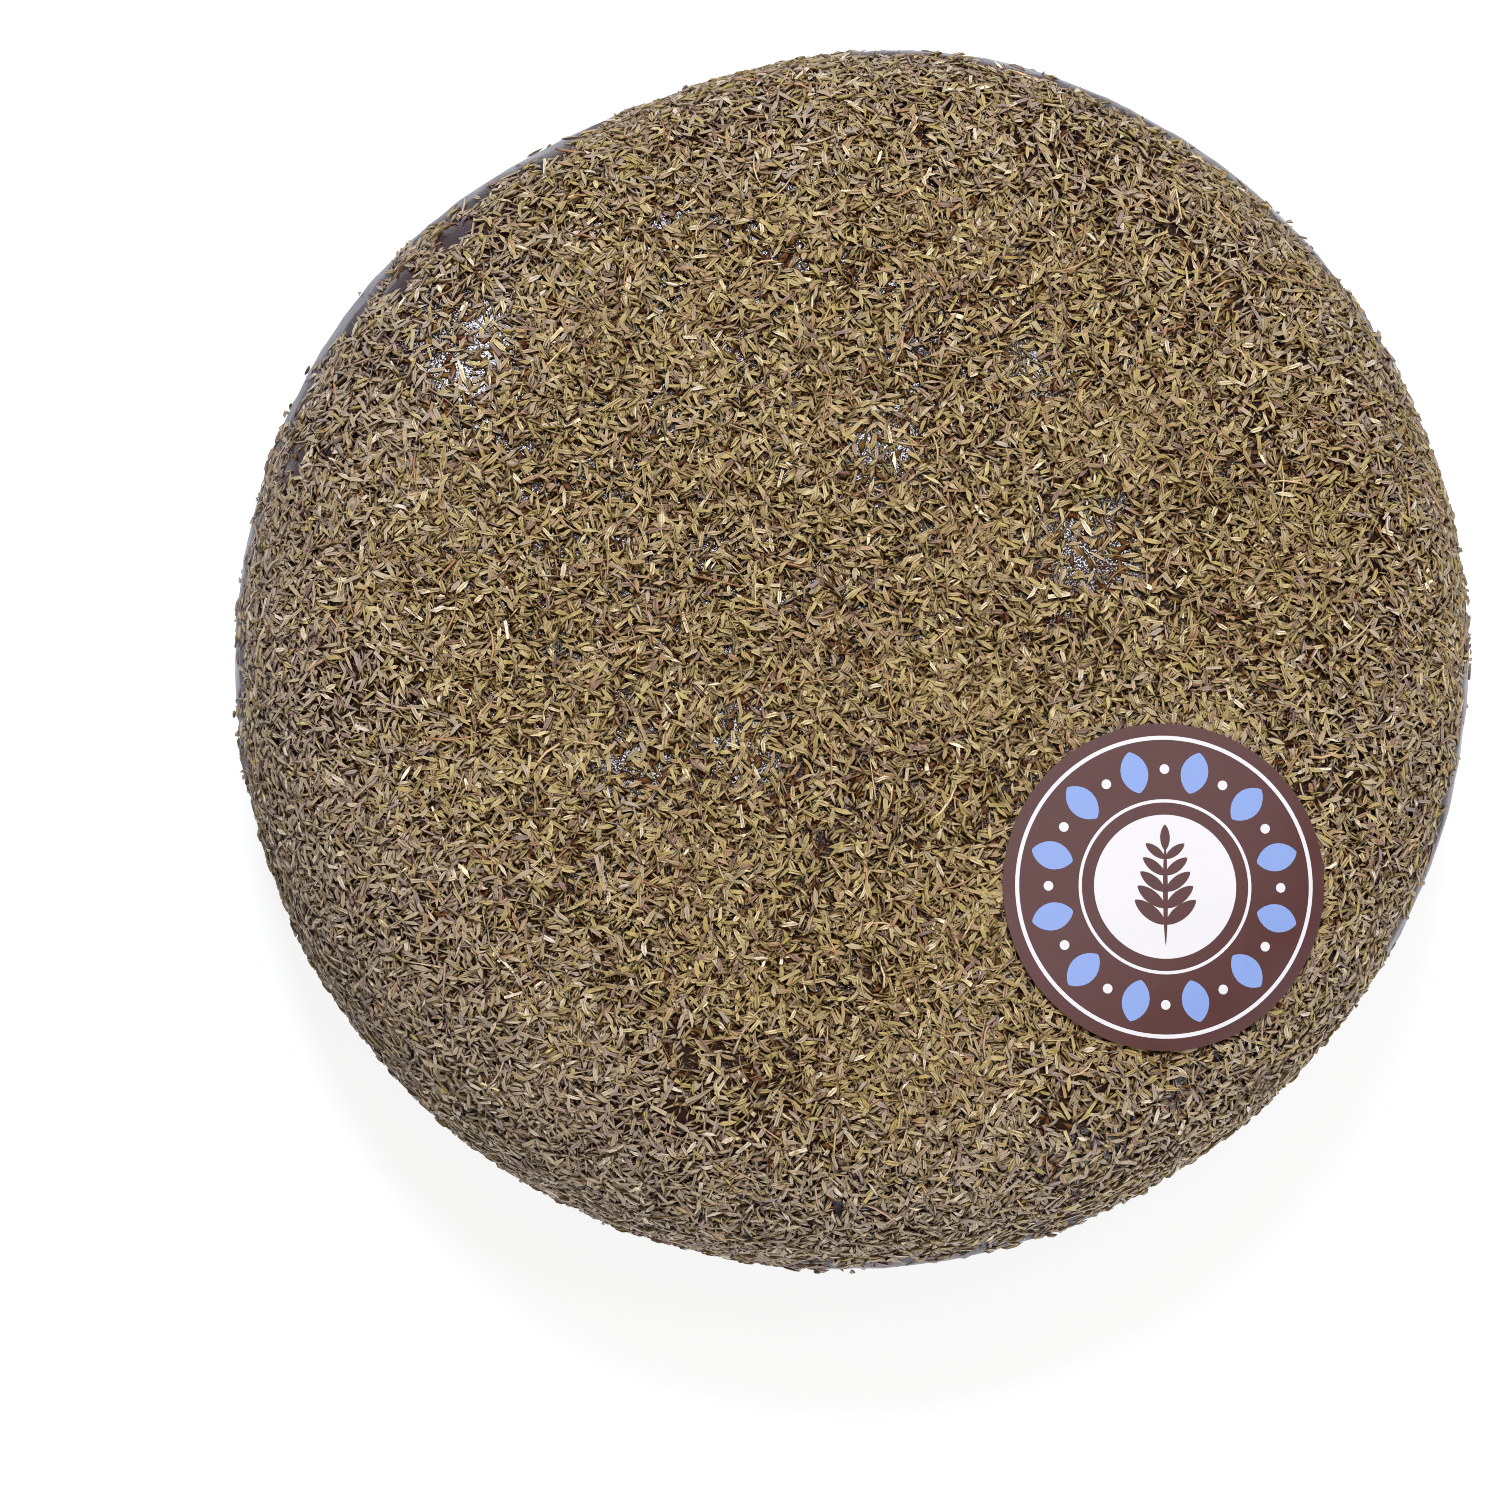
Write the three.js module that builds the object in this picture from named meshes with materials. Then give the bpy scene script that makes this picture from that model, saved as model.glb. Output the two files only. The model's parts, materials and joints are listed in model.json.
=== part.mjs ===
// A wheel of cheese in a herb-crusted coat, with a round paper label stuck to its upper face.
// Millimetres, +Z up. The origin is the middle of the flat foot that the wheel rests on.
import * as THREE from "three";

// Driving dimensions of the wheel
const WHEEL_DIAMETER = 255;
const WHEEL_THICKNESS = 92;
const FOOT_SETTLING = 1.2; // what the wheel's own weight has pressed flat on its under face
const FACE_POWER = 10; // a higher power makes the two faces flatter
const RIM_POWER = 2.2; // a higher power makes the rim straighter

// Hand-made unevenness of the wheel
const OVALITY = 0.9; // the outline's two-fold swing
const OVAL_AZIMUTH = 38; // degrees, where the oval is widest
const LOBES = 0.5; // the outline's three-fold swing
const LOBE_AZIMUTH = 107;
const FLAT_DEPTH = 5.6; // a flattened stretch of the rim
const FLAT_AZIMUTH = 112;
const FLAT_HALF_ANGLE = 24;
const FACE_SWELL = 0.5; // slow hills and hollows of the upper face
const SWELL_LENGTH = 130;

// Driving dimensions of the label
const LABEL_DIAMETER = 65.2;
const LABEL_THICKNESS = 0.4;
const LABEL_GAP = 0.4; // clearance over the crust
const LABEL_REACH = 76.8; // from the wheel's axis to the label's middle
const LABEL_AZIMUTH = -41.8;

// Fineness of the facets
const WHEEL_STEPS_ROUND = 80;
const LOWER_STEPS = 9;
const UPPER_STEPS = 13;
const LABEL_STEPS_ROUND = 40;
const LABEL_RINGS = 4;

const HALF_THICKNESS = WHEEL_THICKNESS / 2;
const radians = THREE.MathUtils.degToRad;

// Radius of the wheel's outline at an azimuth
function outlineRadius(azimuth) {
  const oval = OVALITY * Math.cos(2 * (azimuth - radians(OVAL_AZIMUTH)));
  const lobes = LOBES * Math.cos(3 * (azimuth - radians(LOBE_AZIMUTH)));
  const turn = azimuth - radians(FLAT_AZIMUTH);
  const off = Math.atan2(Math.sin(turn), Math.cos(turn)) / radians(FLAT_HALF_ANGLE);
  return WHEEL_DIAMETER / 2 + oval + lobes - FLAT_DEPTH * Math.exp(-off * off);
}

// Slow hills and hollows, from three crossing waves
function faceSwell(x, y) {
  const wave = (2 * Math.PI) / SWELL_LENGTH;
  const along = Math.sin(wave * (x + 0.4 * y));
  const across = Math.sin(wave * (0.9 * y - 0.5 * x) + 1.3);
  const slant = Math.cos(0.8 * wave * (x - y));
  return (FACE_SWELL * (along + across + slant)) / 3;
}

// Height over the wheel's middle plane, as a share of the crown, at a share of the outline's radius
function profileShare(share) {
  return Math.pow(Math.max(0, 1 - Math.pow(share, FACE_POWER)), 1 / RIM_POWER);
}

// Height of the wheel's upper surface over a point of the plan
function upperHeight(x, y) {
  const share = Math.hypot(x, y) / outlineRadius(Math.atan2(y, x));
  const rise = profileShare(share);
  return HALF_THICKNESS * (1 + rise) + rise * faceSwell(x, y);
}

// Half of the wheel's cross-section from the foot's middle to the upper face's middle, at unit radius
function wheelProfile() {
  const settled = HALF_THICKNESS / (HALF_THICKNESS + FOOT_SETTLING);
  const footShare = Math.pow(1 - Math.pow(settled, RIM_POWER), 1 / FACE_POWER);
  const footTurn = Math.asin(Math.pow(footShare, FACE_POWER / 2));
  const shareAt = (turn) => Math.pow(Math.sin(turn), 2 / FACE_POWER);
  const riseAt = (turn) => Math.pow(Math.cos(turn), 2 / RIM_POWER);
  const points = [new THREE.Vector2(0, 0), new THREE.Vector2(footShare / 2, 0), new THREE.Vector2(footShare, 0)];
  for (let i = 1; i < LOWER_STEPS; i++) {
    const turn = THREE.MathUtils.lerp(footTurn, Math.PI / 2, i / LOWER_STEPS);
    const drop = (HALF_THICKNESS + FOOT_SETTLING) * riseAt(turn);
    points.push(new THREE.Vector2(shareAt(turn), HALF_THICKNESS - drop));
  }
  for (let i = 0; i < UPPER_STEPS; i++) {
    const turn = (Math.PI / 2) * (1 - i / UPPER_STEPS);
    points.push(new THREE.Vector2(shareAt(turn), HALF_THICKNESS * (1 + riseAt(turn))));
  }
  const innermost = points.at(-1).x;
  for (const part of [0.7, 0.35, 0]) {
    const share = innermost * part;
    points.push(new THREE.Vector2(share, HALF_THICKNESS * (1 + profileShare(share))));
  }
  return points;
}

// Moves every vertex of a geometry by a function that changes it in place
function reshape(geometry, change) {
  const places = geometry.getAttribute("position");
  const place = new THREE.Vector3();
  for (let i = 0; i < places.count; i++) {
    place.fromBufferAttribute(places, i);
    change(place);
    places.setXYZ(i, place.x, place.y, place.z);
  }
  geometry.computeVertexNormals();
  return geometry;
}

// The wheel: its cross-section spun round, then stretched to the uneven outline and swollen on top
function wheelGeometry() {
  const spun = new THREE.LatheGeometry(wheelProfile(), WHEEL_STEPS_ROUND).rotateX(Math.PI / 2);
  return reshape(spun, (place) => {
    const radius = outlineRadius(Math.atan2(place.y, place.x));
    place.x *= radius;
    place.y *= radius;
    const rise = Math.max(0, place.z / HALF_THICKNESS - 1);
    place.z += rise * faceSwell(place.x, place.y);
  });
}

// The label: a thin disc laid over the upper face and bent to it
function labelGeometry() {
  const radius = LABEL_DIAMETER / 2;
  const points = [];
  for (let i = 0; i <= LABEL_RINGS; i++) points.push(new THREE.Vector2((radius * i) / LABEL_RINGS, 0));
  for (let i = LABEL_RINGS; i >= 0; i--) {
    points.push(new THREE.Vector2((radius * i) / LABEL_RINGS, LABEL_THICKNESS));
  }
  const azimuth = radians(LABEL_AZIMUTH);
  const disc = new THREE.LatheGeometry(points, LABEL_STEPS_ROUND).rotateX(Math.PI / 2);
  disc.translate(LABEL_REACH * Math.cos(azimuth), LABEL_REACH * Math.sin(azimuth), LABEL_GAP);
  return reshape(disc, (place) => {
    place.z += upperHeight(place.x, place.y);
  });
}

const herbCrust = new THREE.MeshStandardMaterial({ color: 0x7f6d4e, roughness: 0.75, metalness: 0 });
const brownPaper = new THREE.MeshStandardMaterial({ color: 0x6a4a48, roughness: 0.55, metalness: 0 });

const wheel = new THREE.Mesh(wheelGeometry(), herbCrust);
wheel.name = "cheese_wheel";
const label = new THREE.Mesh(labelGeometry(), brownPaper);
label.name = "label";

// The uneven outline is centred over the origin
const cheese = new THREE.Group();
cheese.add(wheel, label);
wheel.geometry.computeBoundingBox();
const middle = wheel.geometry.boundingBox.getCenter(new THREE.Vector3());
cheese.position.set(-middle.x, -middle.y, 0);

const part = new THREE.Group();
part.add(cheese);

export default part;
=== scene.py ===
"""Looks of a whole cheese in a herb-crusted coat, with a round paper label, lying on a pale floor."""

import json
import logging
import math
from dataclasses import dataclass
from enum import Enum, IntEnum
from typing import Sequence

import bpy
import numpy as np
from mathutils import Matrix, Vector, noise

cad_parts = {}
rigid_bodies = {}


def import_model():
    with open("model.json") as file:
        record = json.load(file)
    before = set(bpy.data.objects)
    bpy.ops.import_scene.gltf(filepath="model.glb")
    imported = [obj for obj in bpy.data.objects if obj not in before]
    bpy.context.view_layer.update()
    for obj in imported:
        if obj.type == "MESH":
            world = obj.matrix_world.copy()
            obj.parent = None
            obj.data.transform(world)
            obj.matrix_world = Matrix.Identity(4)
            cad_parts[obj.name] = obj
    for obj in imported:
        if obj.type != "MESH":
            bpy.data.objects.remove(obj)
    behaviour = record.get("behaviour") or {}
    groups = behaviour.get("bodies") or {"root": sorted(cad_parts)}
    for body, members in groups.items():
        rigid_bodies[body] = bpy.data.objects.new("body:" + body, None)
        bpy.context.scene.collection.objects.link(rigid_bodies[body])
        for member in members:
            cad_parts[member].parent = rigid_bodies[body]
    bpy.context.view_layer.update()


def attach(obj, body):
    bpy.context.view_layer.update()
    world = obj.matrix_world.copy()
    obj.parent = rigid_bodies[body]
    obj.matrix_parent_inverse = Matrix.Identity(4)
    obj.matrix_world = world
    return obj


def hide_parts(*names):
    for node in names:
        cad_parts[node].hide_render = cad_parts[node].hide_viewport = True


LOG = logging.getLogger("cheese_wheel")
MM = 0.001
BODY = "root"
CHART_MAP = "OFBake"
LEAF_MAP = "leaf_map"
LOOK_NAME = "look"
COVER_NAME = "herb_cover"
PRESS_NAME = "herb_press"
PAINTED_SHEEN_NAME = "herb_dust"
CHART_SIDE = 16
CHART_MARGIN = 0.08
GREY_ROWS = 4
MOST_TRIANGLES = 200_000

Loop = np.ndarray


class Slot(Enum):
    """The record's material slots."""

    HERB_CRUST = "herb_crust"
    LABEL_PAPER = "label_paper"


class Node(Enum):
    """The solids that the pieces stand for."""

    WHEEL = "cheese_wheel"
    LABEL = "label"


class Draw(IntEnum):
    """Seeds that keep the scatter's random draws apart."""

    LIFT = 11
    TURN = 12
    SHAPE = 13
    SIZE = 14
    PLAIN_LOOK = 15
    GREYED = 16
    GREY_LOOK = 17


def linear(red: float, green: float, blue: float) -> tuple[float, float, float, float]:
    """Turns a colour as seen on a screen into a shader's colour.

    Args:
        red: Red, from 0 to 255.
        green: Green, from 0 to 255.
        blue: Blue, from 0 to 255.

    Returns:
        The linear colour with full alpha.
    """
    parts = [value / 255.0 for value in (red, green, blue)]
    low, knee, slope, power = 0.04045, 0.055, 12.92, 2.4
    made = [p / slope if p <= low else ((p + knee) / (1.0 + knee)) ** power for p in parts]
    return made[0], made[1], made[2], 1.0


def smooth_step(value: np.ndarray, start: float, end: float) -> np.ndarray:
    """Rises smoothly from 0 at start to 1 at end.

    Args:
        value: The values to ease.
        start: Where the rise starts.
        end: Where the rise ends.

    Returns:
        The eased values.
    """
    part = np.clip((value - start) / (end - start), 0.0, 1.0)
    return part * part * (3.0 - 2.0 * part)


def turn_between(azimuth: np.ndarray, middle: float) -> np.ndarray:
    """Gives the signed angle from a middle azimuth, wrapped to half a turn.

    Args:
        azimuth: Azimuths in radians.
        middle: The azimuth to measure from, in radians.

    Returns:
        Angles from -pi to pi.
    """
    off = azimuth - middle
    return np.arctan2(np.sin(off), np.cos(off))


def noise_at(places: np.ndarray, length: float, shift: float) -> np.ndarray:
    """Samples smooth noise at places.

    Args:
        places: Points in metres, one row each.
        length: Size of one noise cell in metres.
        shift: Moves the pattern, so that two uses differ.

    Returns:
        Values of about -1 to 1.
    """
    offset = Vector((shift, -shift, 0.5 * shift))
    return np.array([noise.noise(Vector(place) / length + offset) for place in places])


def direction(azimuth: float, elevation: float) -> Vector:
    """Gives the unit vector at an azimuth and an elevation, both in radians."""
    flat = math.cos(elevation)
    return Vector((flat * math.cos(azimuth), flat * math.sin(azimuth), math.sin(elevation)))


@dataclass(frozen=True)
class Pattern:
    """A smooth noise pattern over the wheel, which swings by its share either way."""

    length: float
    shift: float
    share: float = 1.0

    def at(self, places: np.ndarray) -> np.ndarray:
        """Gives the pattern's values at places."""
        return self.share * noise_at(places, self.length, self.shift)


@dataclass(frozen=True)
class Span:
    """Two values between which something rises smoothly from 0 to 1."""

    start: float
    end: float

    def rise(self, value: np.ndarray) -> np.ndarray:
        """Gives how far values have risen."""
        return smooth_step(value, self.start, self.end)

    def times(self, scale: float) -> "Span":
        """Gives the span scaled."""
        return Span(self.start * scale, self.end * scale)

    def about(self, middle: float) -> "Span":
        """Gives the span moved by a middle."""
        return Span(self.start + middle, self.end + middle)


class Graph:
    """A node tree under construction."""

    def __init__(self, tree: bpy.types.NodeTree) -> None:
        """Takes the tree that the nodes go into."""
        self.tree = tree

    def add(self, kind: str, inputs: dict | None = None, **settings: object) -> bpy.types.Node:
        """Adds a node.

        Args:
            kind: The node's Blender type.
            inputs: Values or output sockets, by input name or index.
            **settings: Properties of the node, set before its inputs.

        Returns:
            The new node.
        """
        node = self.tree.nodes.new(kind)
        for name, value in settings.items():
            setattr(node, name, value)
        for key, value in (inputs or {}).items():
            self.feed(node, key, value)
        return node

    def feed(self, node: bpy.types.Node, key: str | int, value: object) -> None:
        """Sets or links one input.

        Args:
            node: The node.
            key: The input's name or index.
            value: A constant, or the output socket to link from.
        """
        socket = node.inputs[key] if isinstance(key, int) else self.live(node.inputs, key)
        if isinstance(value, bpy.types.NodeSocket):
            self.tree.links.new(value, socket)
        else:
            socket.default_value = value

    @staticmethod
    def live(sockets: Sequence[bpy.types.NodeSocket], name: str) -> bpy.types.NodeSocket:
        """Finds the socket of a name that the node's settings have switched on."""
        return next(s for s in sockets if s.name == name and s.enabled)

    def out(self, node: bpy.types.Node, name: str) -> bpy.types.NodeSocket:
        """Gives a node's output of a name."""
        return self.live(node.outputs, name)

    def math(self, operation: str, *values: object) -> bpy.types.NodeSocket:
        """Adds a Math node and gives its output."""
        return self.add("ShaderNodeMath", dict(enumerate(values)), operation=operation).outputs[0]

    def vector(self, operation: str, *values: object) -> bpy.types.NodeSocket:
        """Adds a Vector Math node and gives its vector output."""
        node = self.add("ShaderNodeVectorMath", dict(enumerate(values)), operation=operation)
        return node.outputs["Vector"]

    def blend(self, share: object, first: object, second: object) -> bpy.types.NodeSocket:
        """Adds a colour mix.

        Args:
            share: How much of the second colour shows.
            first: The first colour or its socket.
            second: The second colour or its socket.

        Returns:
            The mixed colour's socket.
        """
        node = self.add("ShaderNodeMix", data_type="RGBA")
        for key, value in (("Factor", share), ("A", first), ("B", second)):
            self.feed(node, key, value)
        return self.out(node, "Result")

    def ramp(
        self, value: object, span: Span, ends: tuple[float, float] = (0.0, 1.0)
    ) -> bpy.types.NodeSocket:
        """Adds a straight ramp that is level past its span.

        Args:
            value: The value's socket.
            span: Where the ramp starts and ends.
            ends: What it gives there.

        Returns:
            The ramp's socket.
        """
        inputs = {"Value": value, 1: span.start, 2: span.end, 3: ends[0], 4: ends[1]}
        return self.add("ShaderNodeMapRange", inputs).outputs[0]

    def scale(self, vector: object, factor: object) -> bpy.types.NodeSocket:
        """Adds a vector scaled by a factor, and gives its output."""
        scaled = self.vector("SCALE", vector)
        self.feed(scaled.node, "Scale", factor)
        return scaled


def number_group(name: str, inputs: Sequence[str], outputs: Sequence[str]) -> bpy.types.NodeTree:
    """Starts a shader group whose sockets are plain numbers.

    Args:
        name: The group's name.
        inputs: Names of its inputs.
        outputs: Names of its outputs.

    Returns:
        The group, still empty.
    """
    tree = bpy.data.node_groups.new(name, "ShaderNodeTree")
    for way, titles in (("INPUT", inputs), ("OUTPUT", outputs)):
        for title in titles:
            tree.interface.new_socket(name=title, in_out=way, socket_type="NodeSocketFloat")
    return tree


def new_mesh(name: str, places: np.ndarray, faces: Sequence[Sequence[int]]) -> bpy.types.Mesh:
    """Makes a smooth-shaded mesh.

    Args:
        name: The mesh's name.
        places: Vertices in metres.
        faces: Vertex numbers of each face, turning left seen from outside.

    Returns:
        The mesh.
    """
    mesh = bpy.data.meshes.new(name)
    mesh.from_pydata([tuple(map(float, p)) for p in places], [], [tuple(map(int, f)) for f in faces])
    mesh.validate()
    mesh.shade_smooth()
    return mesh


def show(name: str, mesh: bpy.types.Mesh) -> bpy.types.Object:
    """Puts a mesh into the scene as an object at the origin."""
    piece = bpy.data.objects.new(name, mesh)
    bpy.context.scene.collection.objects.link(piece)
    return piece


def count_triangles(mesh: bpy.types.Mesh) -> int:
    """Counts the triangles that a mesh's faces make."""
    return sum(len(face.vertices) - 2 for face in mesh.polygons)


@dataclass(frozen=True)
class WheelForm:
    """The wheel's outer form: a superellipse spun round an uneven outline, as the solid has it."""

    diameter: float = 255 * MM
    thickness: float = 92 * MM
    settling: float = 1.2 * MM
    face_power: float = 10.0
    rim_power: float = 2.2
    ovality: float = 0.9 * MM
    oval_azimuth: float = math.radians(38)
    lobes: float = 0.5 * MM
    lobe_azimuth: float = math.radians(107)
    flat_depth: float = 5.6 * MM
    flat_azimuth: float = math.radians(112)
    flat_half_angle: float = math.radians(24)
    face_swell: float = 0.5 * MM
    swell_length: float = 130 * MM
    outline_steps: int = 80
    profile_steps: int = 4000

    @property
    def half(self) -> float:
        """Half of the thickness."""
        return self.thickness / 2

    def outline(self, azimuth: np.ndarray) -> np.ndarray:
        """Radius of the outline at an azimuth about the spinning axis."""
        oval = self.ovality * np.cos(2 * (azimuth - self.oval_azimuth))
        lobes = self.lobes * np.cos(3 * (azimuth - self.lobe_azimuth))
        off = turn_between(azimuth, self.flat_azimuth) / self.flat_half_angle
        return self.diameter / 2 + oval + lobes - self.flat_depth * np.exp(-off * off)

    def middle(self) -> np.ndarray:
        """Where the outline's box has its middle, which the solid puts over the origin."""
        azimuth = np.linspace(0, 2 * math.pi, self.outline_steps, endpoint=False) - math.pi / 2
        ring = np.stack([np.cos(azimuth), np.sin(azimuth)], axis=1) * self.outline(azimuth)[:, None]
        return (ring.min(axis=0) + ring.max(axis=0)) / 2

    def swell(self, x: np.ndarray, y: np.ndarray) -> np.ndarray:
        """Slow hills and hollows of the upper face, from three crossing waves."""
        wave = 2 * math.pi / self.swell_length
        along = np.sin(wave * (x + 0.4 * y))
        across = np.sin(wave * (0.9 * y - 0.5 * x) + 1.3)
        slant = np.cos(0.8 * wave * (x - y))
        return self.face_swell * (along + across + slant) / 3

    def upper_height(self, x: np.ndarray, y: np.ndarray) -> np.ndarray:
        """Height of the upper surface over points of the plan, from the origin's axis.

        Args:
            x: Places to the right in metres.
            y: Places up the face in metres.

        Returns:
            Heights over the floor.
        """
        middle = self.middle()
        x, y = x + middle[0], y + middle[1]
        share = np.hypot(x, y) / self.outline(np.arctan2(y, x))
        rise = np.maximum(0.0, 1 - share**self.face_power) ** (1 / self.rim_power)
        return self.half * (1 + rise) + rise * self.swell(x, y)

    def profile(self, steps: int) -> np.ndarray:
        """Spaces points evenly along half of the cross-section.

        Args:
            steps: How many spaces.

        Returns:
            Rows of share of the outline's radius and height, from the foot's middle to the top's.
        """
        turn = np.linspace(0, math.pi / 2, self.profile_steps)
        share = np.sin(turn) ** (2 / self.face_power)
        rise = np.cos(turn) ** (2 / self.rim_power)
        lower = np.maximum(0.0, self.half - (self.half + self.settling) * rise)
        shares = np.concatenate([share, share[::-1]])
        heights = np.concatenate([lower, self.half * (1 + rise[::-1])])
        run = np.hypot(np.diff(shares) * self.diameter / 2, np.diff(heights))
        length = np.concatenate([[0.0], np.cumsum(run)])
        even = np.linspace(0, length[-1], steps + 1)
        return np.stack([np.interp(even, length, shares), np.interp(even, length, heights)], axis=1)

    def surface(self, rings: int, segments: int) -> np.ndarray:
        """Points of the outer surface.

        Args:
            rings: Spaces along the cross-section.
            segments: Spaces round the axis.

        Returns:
            An array of rings + 1 by segments by 3.
        """
        profile = self.profile(rings)
        azimuth = np.linspace(0, 2 * math.pi, segments, endpoint=False)
        radius = profile[:, :1] * self.outline(azimuth)[None, :]
        x, y = radius * np.cos(azimuth), radius * np.sin(azimuth)
        height = np.repeat(profile[:, 1:], segments, axis=1)
        height = height + np.maximum(0.0, height / self.half - 1) * self.swell(x, y)
        middle = self.middle()
        return np.stack([x - middle[0], y - middle[1], height], axis=2)


@dataclass(frozen=True)
class LabelPlace:
    """Where the round label lies on the wheel's upper face."""

    diameter: float = 65.2 * MM
    thickness: float = 0.4 * MM
    gap: float = 0.4 * MM
    reach: float = 76.8 * MM
    azimuth: float = math.radians(-41.8)

    def middle(self, form: WheelForm) -> np.ndarray:
        """The label's middle in plan."""
        spun = self.reach * np.array([math.cos(self.azimuth), math.sin(self.azimuth)])
        return spun - form.middle()


class NoiseGrain:
    """A shader group that gives cloudy and fine variation over a surface."""

    name = "cloudy_grain"
    inputs = ("Cloud Size", "Grain Size", "Contrast")
    outputs = ("Cloud", "Grain", "Gain")
    details = (3.0, 2.0)

    @classmethod
    def group(cls) -> bpy.types.NodeTree:
        """Makes the group once.

        Returns:
            The group. Cloud and Grain are noise of two sizes, and Gain swings about 1 with both.
        """
        found = bpy.data.node_groups.get(cls.name)
        if found:
            return found
        tree = number_group(cls.name, cls.inputs, cls.outputs)
        graph = Graph(tree)
        given = graph.add("NodeGroupInput")
        place = graph.add("ShaderNodeTexCoord").outputs["Object"]
        made = {}
        for part, detail in zip(cls.outputs, cls.details):
            scale = graph.math("DIVIDE", 1.0, given.outputs[f"{part} Size"])
            inputs = {"Vector": place, "Scale": scale, "Detail": detail}
            made[part] = graph.add("ShaderNodeTexNoise", inputs).outputs[0]
        both = graph.math("ADD", made["Cloud"], made["Grain"])
        swing = graph.math("MULTIPLY", graph.math("SUBTRACT", both, 1.0), given.outputs["Contrast"])
        made["Gain"] = graph.math("ADD", 1.0, swing)
        graph.add("NodeGroupOutput", made)
        return tree

    @classmethod
    def put(cls, graph: Graph, cloud: float, grain: float, contrast: float) -> object:
        """Puts the group into a material.

        Args:
            graph: The material's graph.
            cloud: Size of the clouds.
            grain: Size of the grain.
            contrast: How far the gain swings.

        Returns:
            The group's output sockets.
        """
        sizes = dict(zip(cls.inputs, (cloud, grain, contrast)))
        return graph.add("ShaderNodeGroup", sizes, node_tree=cls.group()).outputs


class HerbLook:
    """A shader group that reads a herb's square of the colour chart."""

    name = "herb_look"
    inputs = ("Spread", "Tip", "Mottle", "Wander")
    outputs = ("Draw", "Gain", "Hem", "Dent", "Grey")
    blotches = 70.0
    roll_gain = 1.25
    roll_loss = 0.2
    rib_steepness = 2.5
    hem_power = 3.0

    @classmethod
    def group(cls) -> bpy.types.NodeTree:
        """Makes the group once.

        Returns:
            The group. Draw picks the tone and Gain its brightness, Hem marks the pale rolled edges, partly
            a painted highlight, Dent marks the rib, partly painted shade in its groove, and Grey marks the
            chart's rows of herbs greyed to a painted sheen.
        """
        found = bpy.data.node_groups.get(cls.name)
        if found:
            return found
        tree = number_group(cls.name, cls.inputs, cls.outputs)
        graph = Graph(tree)
        given = graph.add("NodeGroupInput").outputs
        chart = graph.add("ShaderNodeUVMap", uv_map=CHART_MAP).outputs["UV"]
        spread_out = graph.scale(chart, float(CHART_SIDE))
        square = graph.vector("FLOOR", spread_out)
        row = graph.add("ShaderNodeSeparateXYZ", {0: square}).outputs["Y"]
        inside = graph.add("ShaderNodeSeparateXYZ", {0: graph.vector("FRACTION", spread_out)})
        along, across = inside.outputs["X"], inside.outputs["Y"]
        draw = graph.add("ShaderNodeTexWhiteNoise", {"Vector": square}, noise_dimensions="2D")
        others = graph.add("ShaderNodeSeparateXYZ", {0: draw.outputs["Color"]}).outputs
        swing = graph.math("MULTIPLY_ADD", others["Y"], 2.0, -1.0)
        gain = graph.math("MULTIPLY_ADD", swing, given["Spread"], 1.0)
        gain = graph.math("MULTIPLY_ADD", graph.math("SUBTRACT", along, 0.5), given["Tip"], gain)
        rolled = graph.math("MULTIPLY_ADD", others["Z"], cls.roll_gain, -cls.roll_loss)
        rolled = graph.math("MAXIMUM", rolled, 0.0)
        off = graph.math("ABSOLUTE", graph.math("MULTIPLY_ADD", across, 2.0, -1.0))
        rib = graph.math("MAXIMUM", graph.math("MULTIPLY_ADD", off, -cls.rib_steepness, 1.0), 0.0)
        blotch = graph.add("ShaderNodeTexNoise", {"Vector": chart, "Scale": cls.blotches, "Detail": 1.0})
        uneven = graph.math("SUBTRACT", blotch.outputs[0], 0.5)
        gain = graph.math("MULTIPLY_ADD", uneven, given["Mottle"], gain)
        result = {
            "Draw": graph.math("MULTIPLY_ADD", uneven, given["Wander"], draw.outputs["Value"]),
            "Gain": gain,
            "Hem": graph.math("MULTIPLY", graph.math("POWER", off, cls.hem_power), rolled),
            "Dent": graph.math("MULTIPLY", rib, rolled),
            "Grey": graph.math("LESS_THAN", row, GREY_ROWS - 0.5),
        }
        graph.add("NodeGroupOutput", result)
        return tree


def new_material(name: str) -> tuple[bpy.types.Material, Graph, bpy.types.Node]:
    """Starts a material.

    Args:
        name: The material's name.

    Returns:
        The material, its graph and its Principled shader.
    """
    material = bpy.data.materials.new(name)
    material.use_nodes = True
    graph = Graph(material.node_tree)
    shader = next(n for n in material.node_tree.nodes if n.type == "BSDF_PRINCIPLED")
    return material, graph, shader


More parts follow.
